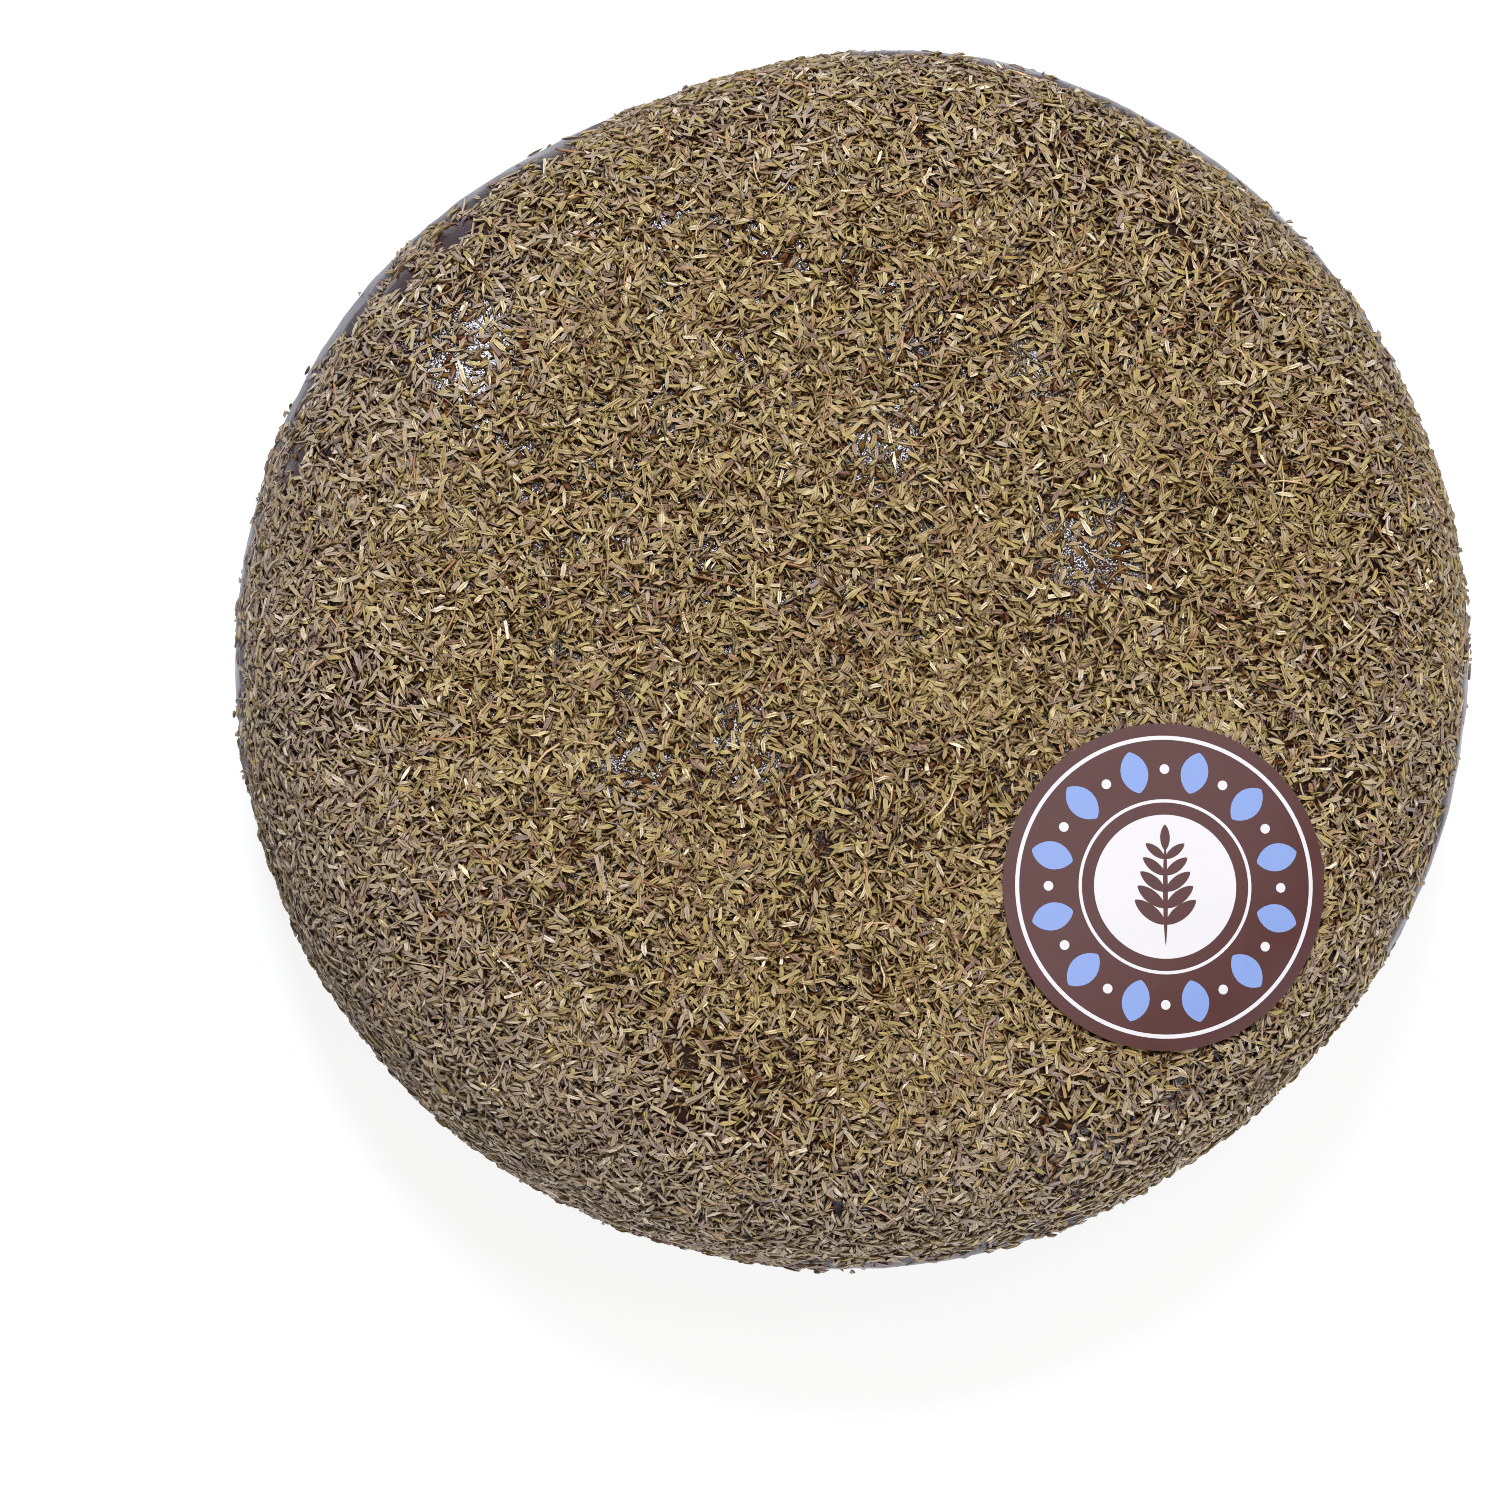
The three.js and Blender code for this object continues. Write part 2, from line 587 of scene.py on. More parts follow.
@dataclass(frozen=True)
class HerbFinish:
    """How one kind of dried herb is coloured.

    Tones are pairs of a colour and where its share of the pieces ends, from 0 to 1.
    """

    name: str
    tones: tuple[tuple[tuple[int, int, int], float], ...]
    # Hem: pale rolled-under margins, partly a painted highlight on raised edges. Dent: the rib's darker
    # tone, partly painted shade in its groove.
    hem: tuple[int, int, int] = (209, 191, 160)
    dent: tuple[int, int, int] = (75, 39, 19)
    # Painted sheen: the pale grey that herbs are blended towards, and how far, standing in for light
    # glancing off the rim.
    painted_sheen: tuple[int, int, int] = (159, 147, 145)
    sheen_strength: float = 0.4
    edge: float = 0.78
    groove: float = 0.85
    spread: float = 0.12
    tip: float = 0.2
    mottle: float = 0.5
    wander: float = 0.3
    roughness: float = 0.5
    specular: float = 0.3

    def material(self) -> bpy.types.Material:
        """Makes the material."""
        material, graph, shader = new_material(self.name)
        look = graph.add("ShaderNodeGroup", node_tree=HerbLook.group())
        for key in HerbLook.inputs:
            graph.feed(look, key, getattr(self, key.lower()))
        ramp = graph.add("ShaderNodeValToRGB", {"Fac": look.outputs["Draw"]})
        ramp.color_ramp.interpolation = "LINEAR"
        elements = ramp.color_ramp.elements
        start = 0.0
        for number, (tone, end) in enumerate(self.tones):
            place = (start + end) / 2
            element = elements[number] if number < 2 else elements.new(place)
            element.position = place
            element.color = linear(*tone)
            start = end
        colour = ramp.outputs["Color"]
        # Painted highlight and shade, in part: the pale hem and the dark rib are blended over the tone.
        for mask, tone, strength in (("Hem", self.hem, self.edge), ("Dent", self.dent, self.groove)):
            share = graph.math("MULTIPLY", look.outputs[mask], strength)
            colour = graph.blend(share, colour, linear(*tone))
        tint = graph.scale(colour, look.outputs["Gain"])
        # Painted sheen: herbs in the greyed rows blend towards the pale grey.
        sheen_share = graph.math("MULTIPLY", look.outputs["Grey"], self.sheen_strength)
        graph.feed(shader, "Base Color", graph.blend(sheen_share, tint, linear(*self.painted_sheen)))
        graph.feed(shader, "Roughness", self.roughness)
        graph.feed(shader, "Specular IOR Level", self.specular)
        return material


@dataclass(frozen=True)
class CoatFinish:
    """The dark glossy coat under the herbs, with a painted sheen on its upright side."""

    name: str = "dark_coat"
    deep: tuple[int, int, int] = (38, 19, 20)
    worn: tuple[int, int, int] = (50, 32, 36)
    # Side: a lighter purple-grey, a painted sheen on the upright side below the shoulder.
    side: tuple[int, int, int] = (88, 83, 91)
    # Painted glints: the pale tone of specks that stand in for light glinting off the coat.
    painted_glint: tuple[int, int, int] = (197, 201, 208)
    glint_size: float = 0.38 * MM
    cloud: float = 14 * MM
    grain: float = 0.6 * MM
    bump: float = 0.15 * MM
    shine: float = 0.08
    dull: float = 0.2
    side_dull: float = 0.2
    specular: float = 0.45
    contrast: float = 0.5
    shoulder_fade: float = 12 * MM
    worn_span: Span = Span(0.35, 0.7)
    gloss_span: Span = Span(0.4, 0.62)
    glint_span: Span = Span(0.53, 0.6)
    patch_span: Span = Span(0.5, 1.2)

    def material(self, patches: Sequence["ThinPatch"], shoulder: float) -> bpy.types.Material:
        """Makes the material.

        Args:
            patches: Places where painted glints show as pale specks.
            shoulder: Height where the face meets the side.

        Returns:
            The material.
        """
        material, graph, shader = new_material(self.name)
        place = graph.add("ShaderNodeTexCoord").outputs["Object"]
        parts = graph.add("ShaderNodeSeparateXYZ", {0: place}).outputs
        side = graph.ramp(parts["Z"], Span(shoulder - self.shoulder_fade, shoulder), (1.0, 0.0))
        grain = NoiseGrain.put(graph, self.cloud, self.grain, self.contrast)
        mask = graph.ramp(grain["Cloud"], self.worn_span)
        colour = graph.blend(mask, linear(*self.deep), linear(*self.worn))
        # Painted sheen: below the shoulder the colour blends to the lighter side tone.
        colour = graph.blend(side, colour, graph.scale(linear(*self.side)[:3], grain["Gain"]))
        # Painted glints: pale specks in the thin patches, for light glinting off the glossy coat.
        colour = graph.blend(self.painted_glints(graph, place, patches), colour, linear(*self.painted_glint))
        graph.feed(shader, "Base Color", colour)
        gloss = graph.ramp(grain["Cloud"], self.gloss_span, (self.dull, self.shine))
        graph.feed(shader, "Roughness", graph.math("MULTIPLY_ADD", side, self.side_dull, gloss))
        bump = graph.add("ShaderNodeBump", {"Height": grain["Grain"], "Distance": self.bump})
        graph.feed(shader, "Normal", bump.outputs["Normal"])
        graph.feed(shader, "Specular IOR Level", self.specular)
        return material

    def painted_glints(
        self, graph: Graph, place: bpy.types.NodeSocket, patches: Sequence["ThinPatch"]
    ) -> bpy.types.NodeSocket:
        """Draws fine pale specks inside the patches, painted glints of the glossy coat.

        Args:
            graph: The material's graph.
            place: The socket of the place on the object.
            patches: Where the painted glints show.

        Returns:
            The socket of the painted glints' mask.
        """
        plan = graph.vector("MULTIPLY", place, (1.0, 1.0, 0.0))
        inside = 0.0
        for patch in patches:
            inputs = {0: plan, 1: (patch.x, patch.y, 0.0)}
            off = graph.add("ShaderNodeVectorMath", inputs, operation="DISTANCE").outputs["Value"]
            fade = graph.ramp(off, self.patch_span.times(patch.radius), (1.0, 0.0))
            inside = graph.math("MAXIMUM", inside, fade)
        spots = graph.add("ShaderNodeTexNoise", {"Vector": place, "Scale": 1.0 / self.glint_size, "Detail": 1.0})
        return graph.math("MULTIPLY", graph.ramp(spots.outputs[0], self.glint_span), inside)


@dataclass(frozen=True)
class PaperFinish:
    """Printed paper: an ink with faint mottling and a fine tooth."""

    name: str
    ink: tuple[int, int, int]
    mottle: float = 0.12
    cloud: float = 9 * MM
    tooth: float = 0.25 * MM
    bump: float = 0.02 * MM
    roughness: tuple[float, float] = (0.42, 0.58)
    cloud_span: Span = Span(0.3, 0.7)

    def material(self) -> bpy.types.Material:
        """Makes the material."""
        material, graph, shader = new_material(self.name)
        grain = NoiseGrain.put(graph, self.cloud, self.tooth, self.mottle)
        graph.feed(shader, "Base Color", graph.scale(linear(*self.ink)[:3], grain["Gain"]))
        graph.feed(shader, "Roughness", graph.ramp(grain["Cloud"], self.cloud_span, self.roughness))
        bump = graph.add("ShaderNodeBump", {"Height": grain["Grain"], "Distance": self.bump})
        graph.feed(shader, "Normal", bump.outputs["Normal"])
        return material


@dataclass(frozen=True)
class BareSpot:
    """A patch of the wheel's shoulder that has lost its herbs."""

    azimuth: float
    height: float
    radius: float


@dataclass(frozen=True)
class BareArc:
    """A worn stretch of the rim without herbs, between two leans of the surface.

    A lean is the upward share of the outward direction, 0 on the upright side and 1 on the upper face.
    """

    azimuth: float
    half_angle: float
    foot_lean: float
    top_lean: float


@dataclass(frozen=True)
class ThinPatch:
    """A place on the upper face, in plan, where the herbs lie thinner."""

    x: float
    y: float
    radius: float
    cover: float


@dataclass
class Coat:
    """The wheel's dark coat: its core, with relief, and how thickly the herbs lie on it."""

    form: WheelForm
    label: LabelPlace
    finish: CoatFinish = CoatFinish()
    depth: float = 1.2 * MM
    rings: int = 150
    segments: int = 300
    relief: float = 0.35 * MM
    bumps: tuple[Pattern, ...] = (Pattern(7 * MM, 3.7), Pattern(3.5 * MM, 9.1, 0.5))
    shoulder: float = 75 * MM
    heaps: Pattern = Pattern(26 * MM, 21.0, 0.7)
    drifts: Pattern = Pattern(8 * MM, 33.0, 0.5)
    ragged: Pattern = Pattern(5 * MM, 55.0)
    slow: Pattern = Pattern(15 * MM, 87.0)
    face_lean: float = 0.5
    rim_span: Span = Span(0.2, 0.7)
    side_span: Span = Span(0.1, 0.5)
    upright_span: Span = Span(0.3, 0.8)
    low_span: Span = Span(0.0, 0.4)
    under_span: Span = Span(0.8, 0.98)
    least_cover: float = 0.5
    rim_cover: float = 0.62
    low_cover: float = 0.8
    under_cover: float = 0.3
    bare_cover: float = 0.004
    bare_span: Span = Span(0.05, 0.4)
    under_press: float = 0.35
    rim_press: float = 0.2
    bare_press: float = 0.1
    label_press: float = 0.15
    thick_span: Span = Span(0.25, 0.8)
    label_span: Span = Span(-1.5 * MM, -0.5 * MM)
    clear_span: Span = Span(1.5 * MM, 5 * MM)
    worn_middle: float = 0.6
    worn_wander: float = 0.12
    wander_fine: float = 0.4
    taper_span: Span = Span(0.0, 0.3)
    foot_slow: float = 0.22
    foot_ragged: float = 0.12
    foot_soft: float = 0.06
    top_ragged: float = 0.1
    top_soft: float = 0.05
    spot_squash: float = 1.3
    spot_ragged: float = 0.5
    spot_span: Span = Span(0.7, 1.2)
    thin_span: Span = Span(0.5, 1.3)
    # Painted sheen: greyed herbs gather at the rim, most on the side towards the camera, in slow clouds.
    sheen_even: float = 0.75
    sheen_swing: float = 0.25
    sheen_azimuth: float = math.radians(225)
    sheen_span: Span = Span(0.55, 1.0)
    sheen_clouds: Pattern = Pattern(35 * MM, 71.0, 0.25)
    bare_arcs: tuple[BareArc, ...] = (
        BareArc(math.radians(134), math.radians(29), -0.12, 0.32),
        BareArc(math.radians(60), math.radians(33), 0.0, 0.5),
        BareArc(math.radians(-12), math.radians(22), -0.02, 0.45),
        BareArc(math.radians(-80), math.radians(20), -0.2, 0.16),
        BareArc(math.radians(176), math.radians(16), -0.2, 0.16),
    )
    thin_patches: tuple[ThinPatch, ...] = (
        ThinPatch(-84 * MM, 57 * MM, 13 * MM, 0.36),
        ThinPatch(2 * MM, 38 * MM, 9 * MM, 0.55),
        ThinPatch(33 * MM, 52 * MM, 7 * MM, 0.5),
        ThinPatch(43 * MM, 18 * MM, 11 * MM, 0.42),
        ThinPatch(-28 * MM, -24 * MM, 10 * MM, 0.55),
        ThinPatch(-48 * MM, -28 * MM, 8 * MM, 0.55),
    )
    bare_spots: tuple[BareSpot, ...] = (
        BareSpot(math.radians(123), 72 * MM, 7.5 * MM),
        BareSpot(math.radians(131.5), 66 * MM, 11.0 * MM),
        BareSpot(math.radians(136), 79 * MM, 5.5 * MM),
        BareSpot(math.radians(143), 76 * MM, 5.5 * MM),
        BareSpot(math.radians(147), 66 * MM, 10.5 * MM),
        BareSpot(math.radians(163), 75 * MM, 6.5 * MM),
    )

    def normals(self, grid: np.ndarray) -> np.ndarray:
        """Outward directions of a surface grid.

        Args:
            grid: Points, rings by segments by 3.

        Returns:
            Unit vectors of the same shape.
        """
        along = np.gradient(grid, axis=0)
        around = np.roll(grid, -1, axis=1) - np.roll(grid, 1, axis=1)
        normal = np.cross(around, along)
        normal[0] = (0.0, 0.0, -1.0)
        normal[-1] = (0.0, 0.0, 1.0)
        return normal / np.linalg.norm(normal, axis=2, keepdims=True)

    def build(self) -> bpy.types.Object:
        """Builds the coat.

        Returns:
            The coat's object, with the herbs' cover, press and painted sheen share as vertex attributes.
        """
        outer = self.form.surface(self.rings, self.segments)
        normal = self.normals(outer)
        flat = outer.reshape(-1, 3)
        shape = outer.shape[:2] + (1,)
        cover = self.cover(flat, normal.reshape(-1, 3)).reshape(shape)
        bumps = sum(pattern.at(flat) for pattern in self.bumps).reshape(shape)
        upright = 1 - self.upright_span.rise(np.abs(normal[..., 2:]))
        bare = (1 - self.bare_span.rise(cover)) * upright
        grid = outer + normal * (self.relief * bumps - self.depth * (1 - bare))
        inner = grid[1:-1].reshape(-1, 3)
        foot, top = grid[0].mean(axis=0), grid[-1].mean(axis=0)
        places = np.concatenate([inner, [foot], [top]])
        mesh = new_mesh("coat", places, self.faces())
        lean = np.concatenate([normal[1:-1].reshape(-1, 3), [normal[0, 0]], [normal[-1, 0]]])
        cover = np.concatenate([cover[1:-1].ravel(), cover[0, 0], cover[-1, 0]])
        self.spread_attribute(mesh, COVER_NAME, cover)
        self.spread_attribute(mesh, PRESS_NAME, self.press(places, lean, cover))
        self.spread_attribute(mesh, PAINTED_SHEEN_NAME, self.painted_sheen(places))
        mesh.materials.append(self.finish.material(self.thin_patches, self.shoulder))
        return show("coat", mesh)

    def faces(self) -> list[tuple[int, ...]]:
        """Joins the rings and closes both poles."""
        rows, count = self.rings - 1, self.segments
        foot, top = rows * count, rows * count + 1
        faces: list[tuple[int, ...]] = []
        for column in range(count):
            following = (column + 1) % count
            faces.append((foot, following, column))
            for row in range(rows - 1):
                low, high = row * count, (row + 1) * count
                faces.append((low + column, low + following, high + following, high + column))
            last = (rows - 1) * count
            faces.append((top, last + column, last + following))
        return faces

    @staticmethod
    def spread_attribute(mesh: bpy.types.Mesh, name: str, values: np.ndarray) -> None:
        """Stores one number on each vertex."""
        attribute = mesh.attributes.new(name, "FLOAT", "POINT")
        attribute.data.foreach_set("value", values.astype(np.float32))

    def from_label(self, places: np.ndarray) -> np.ndarray:
        """Distance in plan from the label's middle, on the upper side only."""
        middle = self.label.middle(self.form)
        far = np.hypot(places[:, 0] - middle[0], places[:, 1] - middle[1])
        return np.where(places[:, 2] > self.form.half, far, self.form.diameter)

    def cover(self, places: np.ndarray, lean: np.ndarray) -> np.ndarray:
        """How thickly the herbs lie.

        Args:
            places: Points of the coat.
            lean: Outward directions there.

        Returns:
            Shares of the full cover.
        """
        rise = lean[:, 2]
        cover = np.maximum(self.least_cover, 1.0 + self.heaps.at(places) + self.drifts.at(places))
        cover *= 1 - (1 - self.rim_cover) * (1 - self.rim_span.rise(np.abs(rise)))
        cover *= 1 - (1 - self.low_cover) * self.low_span.rise(-rise)
        cover *= 1 - (1 - self.under_cover) * self.under_span.rise(-rise)
        ragged = self.ragged.at(places)
        for worn in self.worn_strips(places, rise, ragged) + self.worn_spots(places, ragged):
            cover *= 1 - (1 - self.bare_cover) * worn
        wobble = 1 + self.spot_ragged * ragged
        for patch in self.thin_patches:
            off = np.hypot(places[:, 0] - patch.x, places[:, 1] - patch.y) * wobble
            near = (rise > self.face_lean) * (1 - self.thin_span.times(patch.radius).rise(off))
            cover *= 1 - (1 - patch.cover) * near
        outside = self.label_span.about(self.label.diameter / 2)
        return np.maximum(0.0, cover * outside.rise(self.from_label(places)))

    def worn_strips(self, places: np.ndarray, rise: np.ndarray, ragged: np.ndarray) -> list[np.ndarray]:
        """How bare each worn strip of the rim makes the coat.

        Args:
            places: Points of the coat.
            rise: Upward shares of the outward directions there.
            ragged: Fine noise there.

        Returns:
            Shares from 0 to 1, for each strip.
        """
        azimuth = np.arctan2(places[:, 1], places[:, 0])
        slow = self.slow.at(places)
        wander = self.worn_wander * (slow + self.wander_fine * ragged)
        over_foot = rise + self.foot_slow * slow + self.foot_ragged * ragged
        over_top = rise - self.top_ragged * ragged
        strips = []
        for arc in self.bare_arcs:
            aside = (turn_between(azimuth, arc.azimuth) + wander) / arc.half_angle
            taper = np.sqrt(np.maximum(0.0, 1 - aside**2))
            edge = arc.foot_lean + (arc.top_lean - arc.foot_lean) * self.worn_middle
            top = edge + (arc.top_lean - edge) * taper
            foot = edge + (arc.foot_lean - edge) * taper
            band = smooth_step(over_foot, foot - self.foot_soft, foot + self.foot_soft)
            band *= 1 - smooth_step(over_top, top - self.top_soft, top + self.top_soft)
            strips.append(band * self.taper_span.rise(taper))
        return strips

    def worn_spots(self, places: np.ndarray, ragged: np.ndarray) -> list[np.ndarray]:
        """How bare each worn spot of the shoulder makes the coat.

        Args:
            places: Points of the coat.
            ragged: Fine noise there.

        Returns:
            Shares from 0 to 1, for each spot.
        """
        azimuth = np.arctan2(places[:, 1], places[:, 0])
        wobble = 1 + self.spot_ragged * ragged
        spots = []
        for spot in self.bare_spots:
            aside = turn_between(azimuth, spot.azimuth) * self.form.diameter / 2
            off = np.hypot(aside, self.spot_squash * (places[:, 2] - spot.height)) * wobble
            spots.append(1 - self.spot_span.times(spot.radius).rise(off))
        return spots

    def press(self, places: np.ndarray, lean: np.ndarray, cover: np.ndarray) -> np.ndarray:
        """How freely the herbs stand, from 0 pressed flat to 1.

        Args:
            places: Points of the coat.
            lean: Outward directions there.
            cover: How thickly the herbs lie there.

        Returns:
            Shares of the full lift and tilt.
        """
        under = self.under_span.rise(-lean[:, 2])
        side = 1 - self.side_span.rise(np.abs(lean[:, 2]))
        outside = self.clear_span.about(self.label.diameter / 2)
        clear = self.label_press + (1 - self.label_press) * outside.rise(self.from_label(places))
        thick = self.bare_press + (1 - self.bare_press) * self.thick_span.rise(cover)
        free = (1 - (1 - self.under_press) * under) * (1 - (1 - self.rim_press) * side)
        return free * clear * thick

    def painted_sheen(self, places: np.ndarray) -> np.ndarray:
        """How many of the herbs are greyed as a painted sheen, most of them at the rim and most there on
        the side towards the camera.

        Args:
            places: Points of the coat.

        Returns:
            Shares of the herbs.
        """
        azimuth = np.arctan2(places[:, 1], places[:, 0])
        outward = np.hypot(places[:, 0], places[:, 1]) / (self.form.diameter / 2)
        most = self.sheen_even + self.sheen_swing * np.cos(azimuth - self.sheen_azimuth)
        return most * self.sheen_span.rise(outward) + self.sheen_clouds.at(places)

    def dress(self, piece: bpy.types.Object) -> None:
        for name in (COVER_NAME, PRESS_NAME, PAINTED_SHEEN_NAME):
            piece.data.attributes.remove(piece.data.attributes[name])
        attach(piece, BODY)
        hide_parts(Node.WHEEL.value)


@dataclass(frozen=True)
class LeafShape:
    """A dried leaf's shape at unit length: stations along it, rolled to a ridged section.

    Stations are rows of place along the leaf, half width and ridge height. A tip has no width. A leaf with
    a lid lies the other way up, flat over its keel.
    """

    stations: tuple[tuple[float, float, float], ...]
    arch: float = 0.0
    sickle: float = 0.0
    twist: float = 0.0
    lid: bool = False

    def section(self, station: tuple[float, float, float]) -> np.ndarray:
        """The three corners at a station, or one point at a tip."""
        along, half, ridge = station
        bend = 4.0 * (along - 0.5) ** 2
        aside, lift = self.sickle * (1 - bend), self.arch * (1 - bend)
        roll = self.twist * (along - 0.5)
        if half <= 0.0:
            return np.array([(along - 0.5, aside, lift + ridge)])
        rows = [(-half, 0.0), (0.0, ridge), (half, 0.0)]
        if self.lid:
            rows = [(-half, ridge), (half, ridge), (0.0, 0.0)]
        cosine, sine = math.cos(roll), math.sin(roll)
        turned = [(y * cosine - z * sine, y * sine + z * cosine) for y, z in rows]
        return np.array([(along - 0.5, aside + y, lift + z) for y, z in turned])

    def mesh(self, name: str) -> bpy.types.Mesh:
        """Builds the leaf as a closed mesh with its map.

        Args:
            name: The mesh's name.

        Returns:
            The mesh, of about a dozen triangles.
        """
        sections = [self.section(station) for station in self.stations]
        starts = np.cumsum([0] + [len(section) for section in sections])
        faces: list[tuple[int, ...]] = []
        for number in range(len(sections) - 1):
            first, second = starts[number], starts[number + 1]
            for side in range(3):
                following = (side + 1) % 3
                if len(sections[number]) == 1:
                    faces.append((first, second + following, second + side))
                elif len(sections[number + 1]) == 1:
                    faces.append((first + side, first + following, second))
                else:
                    faces.append((first + side, first + following, second + following, second + side))
        if len(sections[0]) > 1:
            faces.append((0, 2, 1))
        if len(sections[-1]) > 1:
            last = starts[-2]
            faces.append((last, last + 1, last + 2))
        made = new_mesh(name, np.concatenate(sections), [face[::-1] for face in faces])
        self.lay_map(made)
        if self.lid:
            made.shade_flat()
        return made

    def lay_map(self, mesh: bpy.types.Mesh) -> None:
        """Maps each corner to its place along and across the leaf, inside the chart square's margin."""
        widest = max(station[1] for station in self.stations)
        layer = mesh.uv_layers.new(name=LEAF_MAP)
        room = 1 - 2 * CHART_MARGIN
        for loop in mesh.loops:
            place = mesh.vertices[loop.vertex_index].co
            along = min(1.0, max(0.0, place.x + 0.5))
            bend = 4.0 * place.x**2
            across = 0.5 + 0.5 * (place.y - self.sickle * (1 - bend)) / max(widest, 1e-6)
            across = min(1.0, max(0.0, across))
            layer.data[loop.index].uv = (CHART_MARGIN + room * along, CHART_MARGIN + room * across)


class ScatterTree:
    """The Geometry Nodes tree that strews shapes over the coat and realizes them."""

    name = "herb_scatter"
    inputs: tuple[tuple[str, str], ...] = (
        ("Surface", "NodeSocketGeometry"),
        ("Shapes", "NodeSocketCollection"),
        ("Shape Count", "NodeSocketInt"),
        ("Density", "NodeSocketFloat"),
        ("Seed", "NodeSocketInt"),
        ("Smallest", "NodeSocketVector"),
        ("Largest", "NodeSocketVector"),
        ("Tilt", "NodeSocketFloat"),
        ("Lift", "NodeSocketFloat"),
        ("Floor", "NodeSocketFloat"),
        ("Material", "NodeSocketMaterial"),
    )

    @classmethod
    def tree(cls) -> bpy.types.NodeTree:
        """Makes the tree once.

        Returns:
            The tree, whose inputs are the sizes, the seed and the shapes to strew.
        """
        found = bpy.data.node_groups.get(cls.name)
        if found:
            return found
        tree = bpy.data.node_groups.new(cls.name, "GeometryNodeTree")
        for name, kind in cls.inputs:
            tree.interface.new_socket(name=name, in_out="INPUT", socket_type=kind)
        tree.interface.new_socket(name="Herbs", in_out="OUTPUT", socket_type="NodeSocketGeometry")
        graph = Graph(tree)
        given = graph.add("NodeGroupInput").outputs
        points, rotation = cls.strew(graph, given)
        placed = cls.place(graph, given, points, rotation)
        mapped = cls.map_looks(graph, placed)
        dressed = graph.add("GeometryNodeSetMaterial", {"Geometry": mapped, "Material": given["Material"]})
        graph.add("NodeGroupOutput", {"Herbs": dressed.outputs[0]})
        return tree

    @staticmethod
    def random(graph: Graph, kind: str, low: object, high: object, seed: Draw) -> bpy.types.NodeSocket:
        """Adds a random value for each point.

        Args:
            graph: The tree's graph.
            kind: FLOAT, INT or FLOAT_VECTOR.
            low: The smallest value or its socket.
            high: The largest value or its socket.
            seed: Keeps one draw apart from another.

        Returns:
            The value's socket.
        """
        node = graph.add("FunctionNodeRandomValue", data_type=kind)
        for key, value in (("Min", low), ("Max", high), ("Seed", seed.value)):
            graph.feed(node, key, value)
        return graph.out(node, "Value")

    @staticmethod
    def attribute(graph: Graph, name: str, kind: str) -> bpy.types.NodeSocket:
        """Reads a named attribute."""
        node = graph.add("GeometryNodeInputNamedAttribute", {"Name": name}, data_type=kind)
        return graph.out(node, "Attribute")

    @classmethod
    def strew(cls, graph: Graph, given: object) -> tuple[bpy.types.NodeSocket, bpy.types.NodeSocket]:
        """Spreads points by the cover, lifts them and turns each its own way.

        Args:
            graph: The tree's graph.
            given: The tree's input sockets.

        Returns:
            Sockets of the points and of their rotations.
        """
        density = graph.math("MULTIPLY", given["Density"], cls.attribute(graph, COVER_NAME, "FLOAT"))
        spread = graph.add("GeometryNodeDistributePointsOnFaces", distribute_method="RANDOM")
        for key, value in (("Mesh", given["Surface"]), ("Density", density), ("Seed", given["Seed"])):
            graph.feed(spread, key, value)
        press = cls.attribute(graph, PRESS_NAME, "FLOAT")
        lift = graph.math("MULTIPLY", cls.random(graph, "FLOAT", 0.0, given["Lift"], Draw.LIFT), press)
        outward = graph.scale(spread.outputs["Normal"], lift)
        moves = {"Geometry": spread.outputs["Points"], "Offset": outward}
        raised = graph.add("GeometryNodeSetPosition", moves)
        lean = graph.math("MULTIPLY", given["Tilt"], press)
        limits = graph.add("ShaderNodeCombineXYZ", {"X": lean, "Y": lean, "Z": math.pi}).outputs[0]
        draw = cls.random(graph, "FLOAT_VECTOR", (-1.0, -1.0, -1.0), (1.0, 1.0, 1.0), Draw.TURN)
        euler = graph.add("FunctionNodeEulerToRotation", {0: graph.vector("MULTIPLY", draw, limits)})
        inputs = {"Rotation": spread.outputs["Rotation"], "Rotate By": euler.outputs[0]}
        turned = graph.add("FunctionNodeRotateRotation", inputs, rotation_space="LOCAL")
        return raised.outputs[0], turned.outputs[0]

    @classmethod
    def place(
        cls, graph: Graph, given: object, points: bpy.types.NodeSocket, rotation: bpy.types.NodeSocket
    ) -> bpy.types.NodeSocket:
        """Puts a shape on each point, gives it a look and realizes it above the floor.

        Args:
            graph: The tree's graph.
            given: The tree's input sockets.
            points: The points.
            rotation: Their rotations.

        Returns:
            The socket of the realized mesh.
        """
        switches = {"Collection": given["Shapes"], "Separate Children": True, "Reset Children": True}
        shapes = graph.add("GeometryNodeCollectionInfo", switches)
        last = graph.math("SUBTRACT", given["Shape Count"], 1.0)
        inputs = {
            "Points": points,
            "Instance": shapes.outputs[0],
            "Pick Instance": True,
            "Instance Index": cls.random(graph, "INT", 0, last, Draw.SHAPE),
            "Rotation": rotation,
            "Scale": cls.random(graph, "FLOAT_VECTOR", given["Smallest"], given["Largest"], Draw.SIZE),
        }
        placed = graph.add("GeometryNodeInstanceOnPoints", inputs).outputs[0]
        grey_looks = GREY_ROWS * CHART_SIDE
        plain = cls.random(graph, "INT", grey_looks, CHART_SIDE * CHART_SIDE - 1, Draw.PLAIN_LOOK)
        grey = cls.random(graph, "INT", 0, grey_looks - 1, Draw.GREY_LOOK)
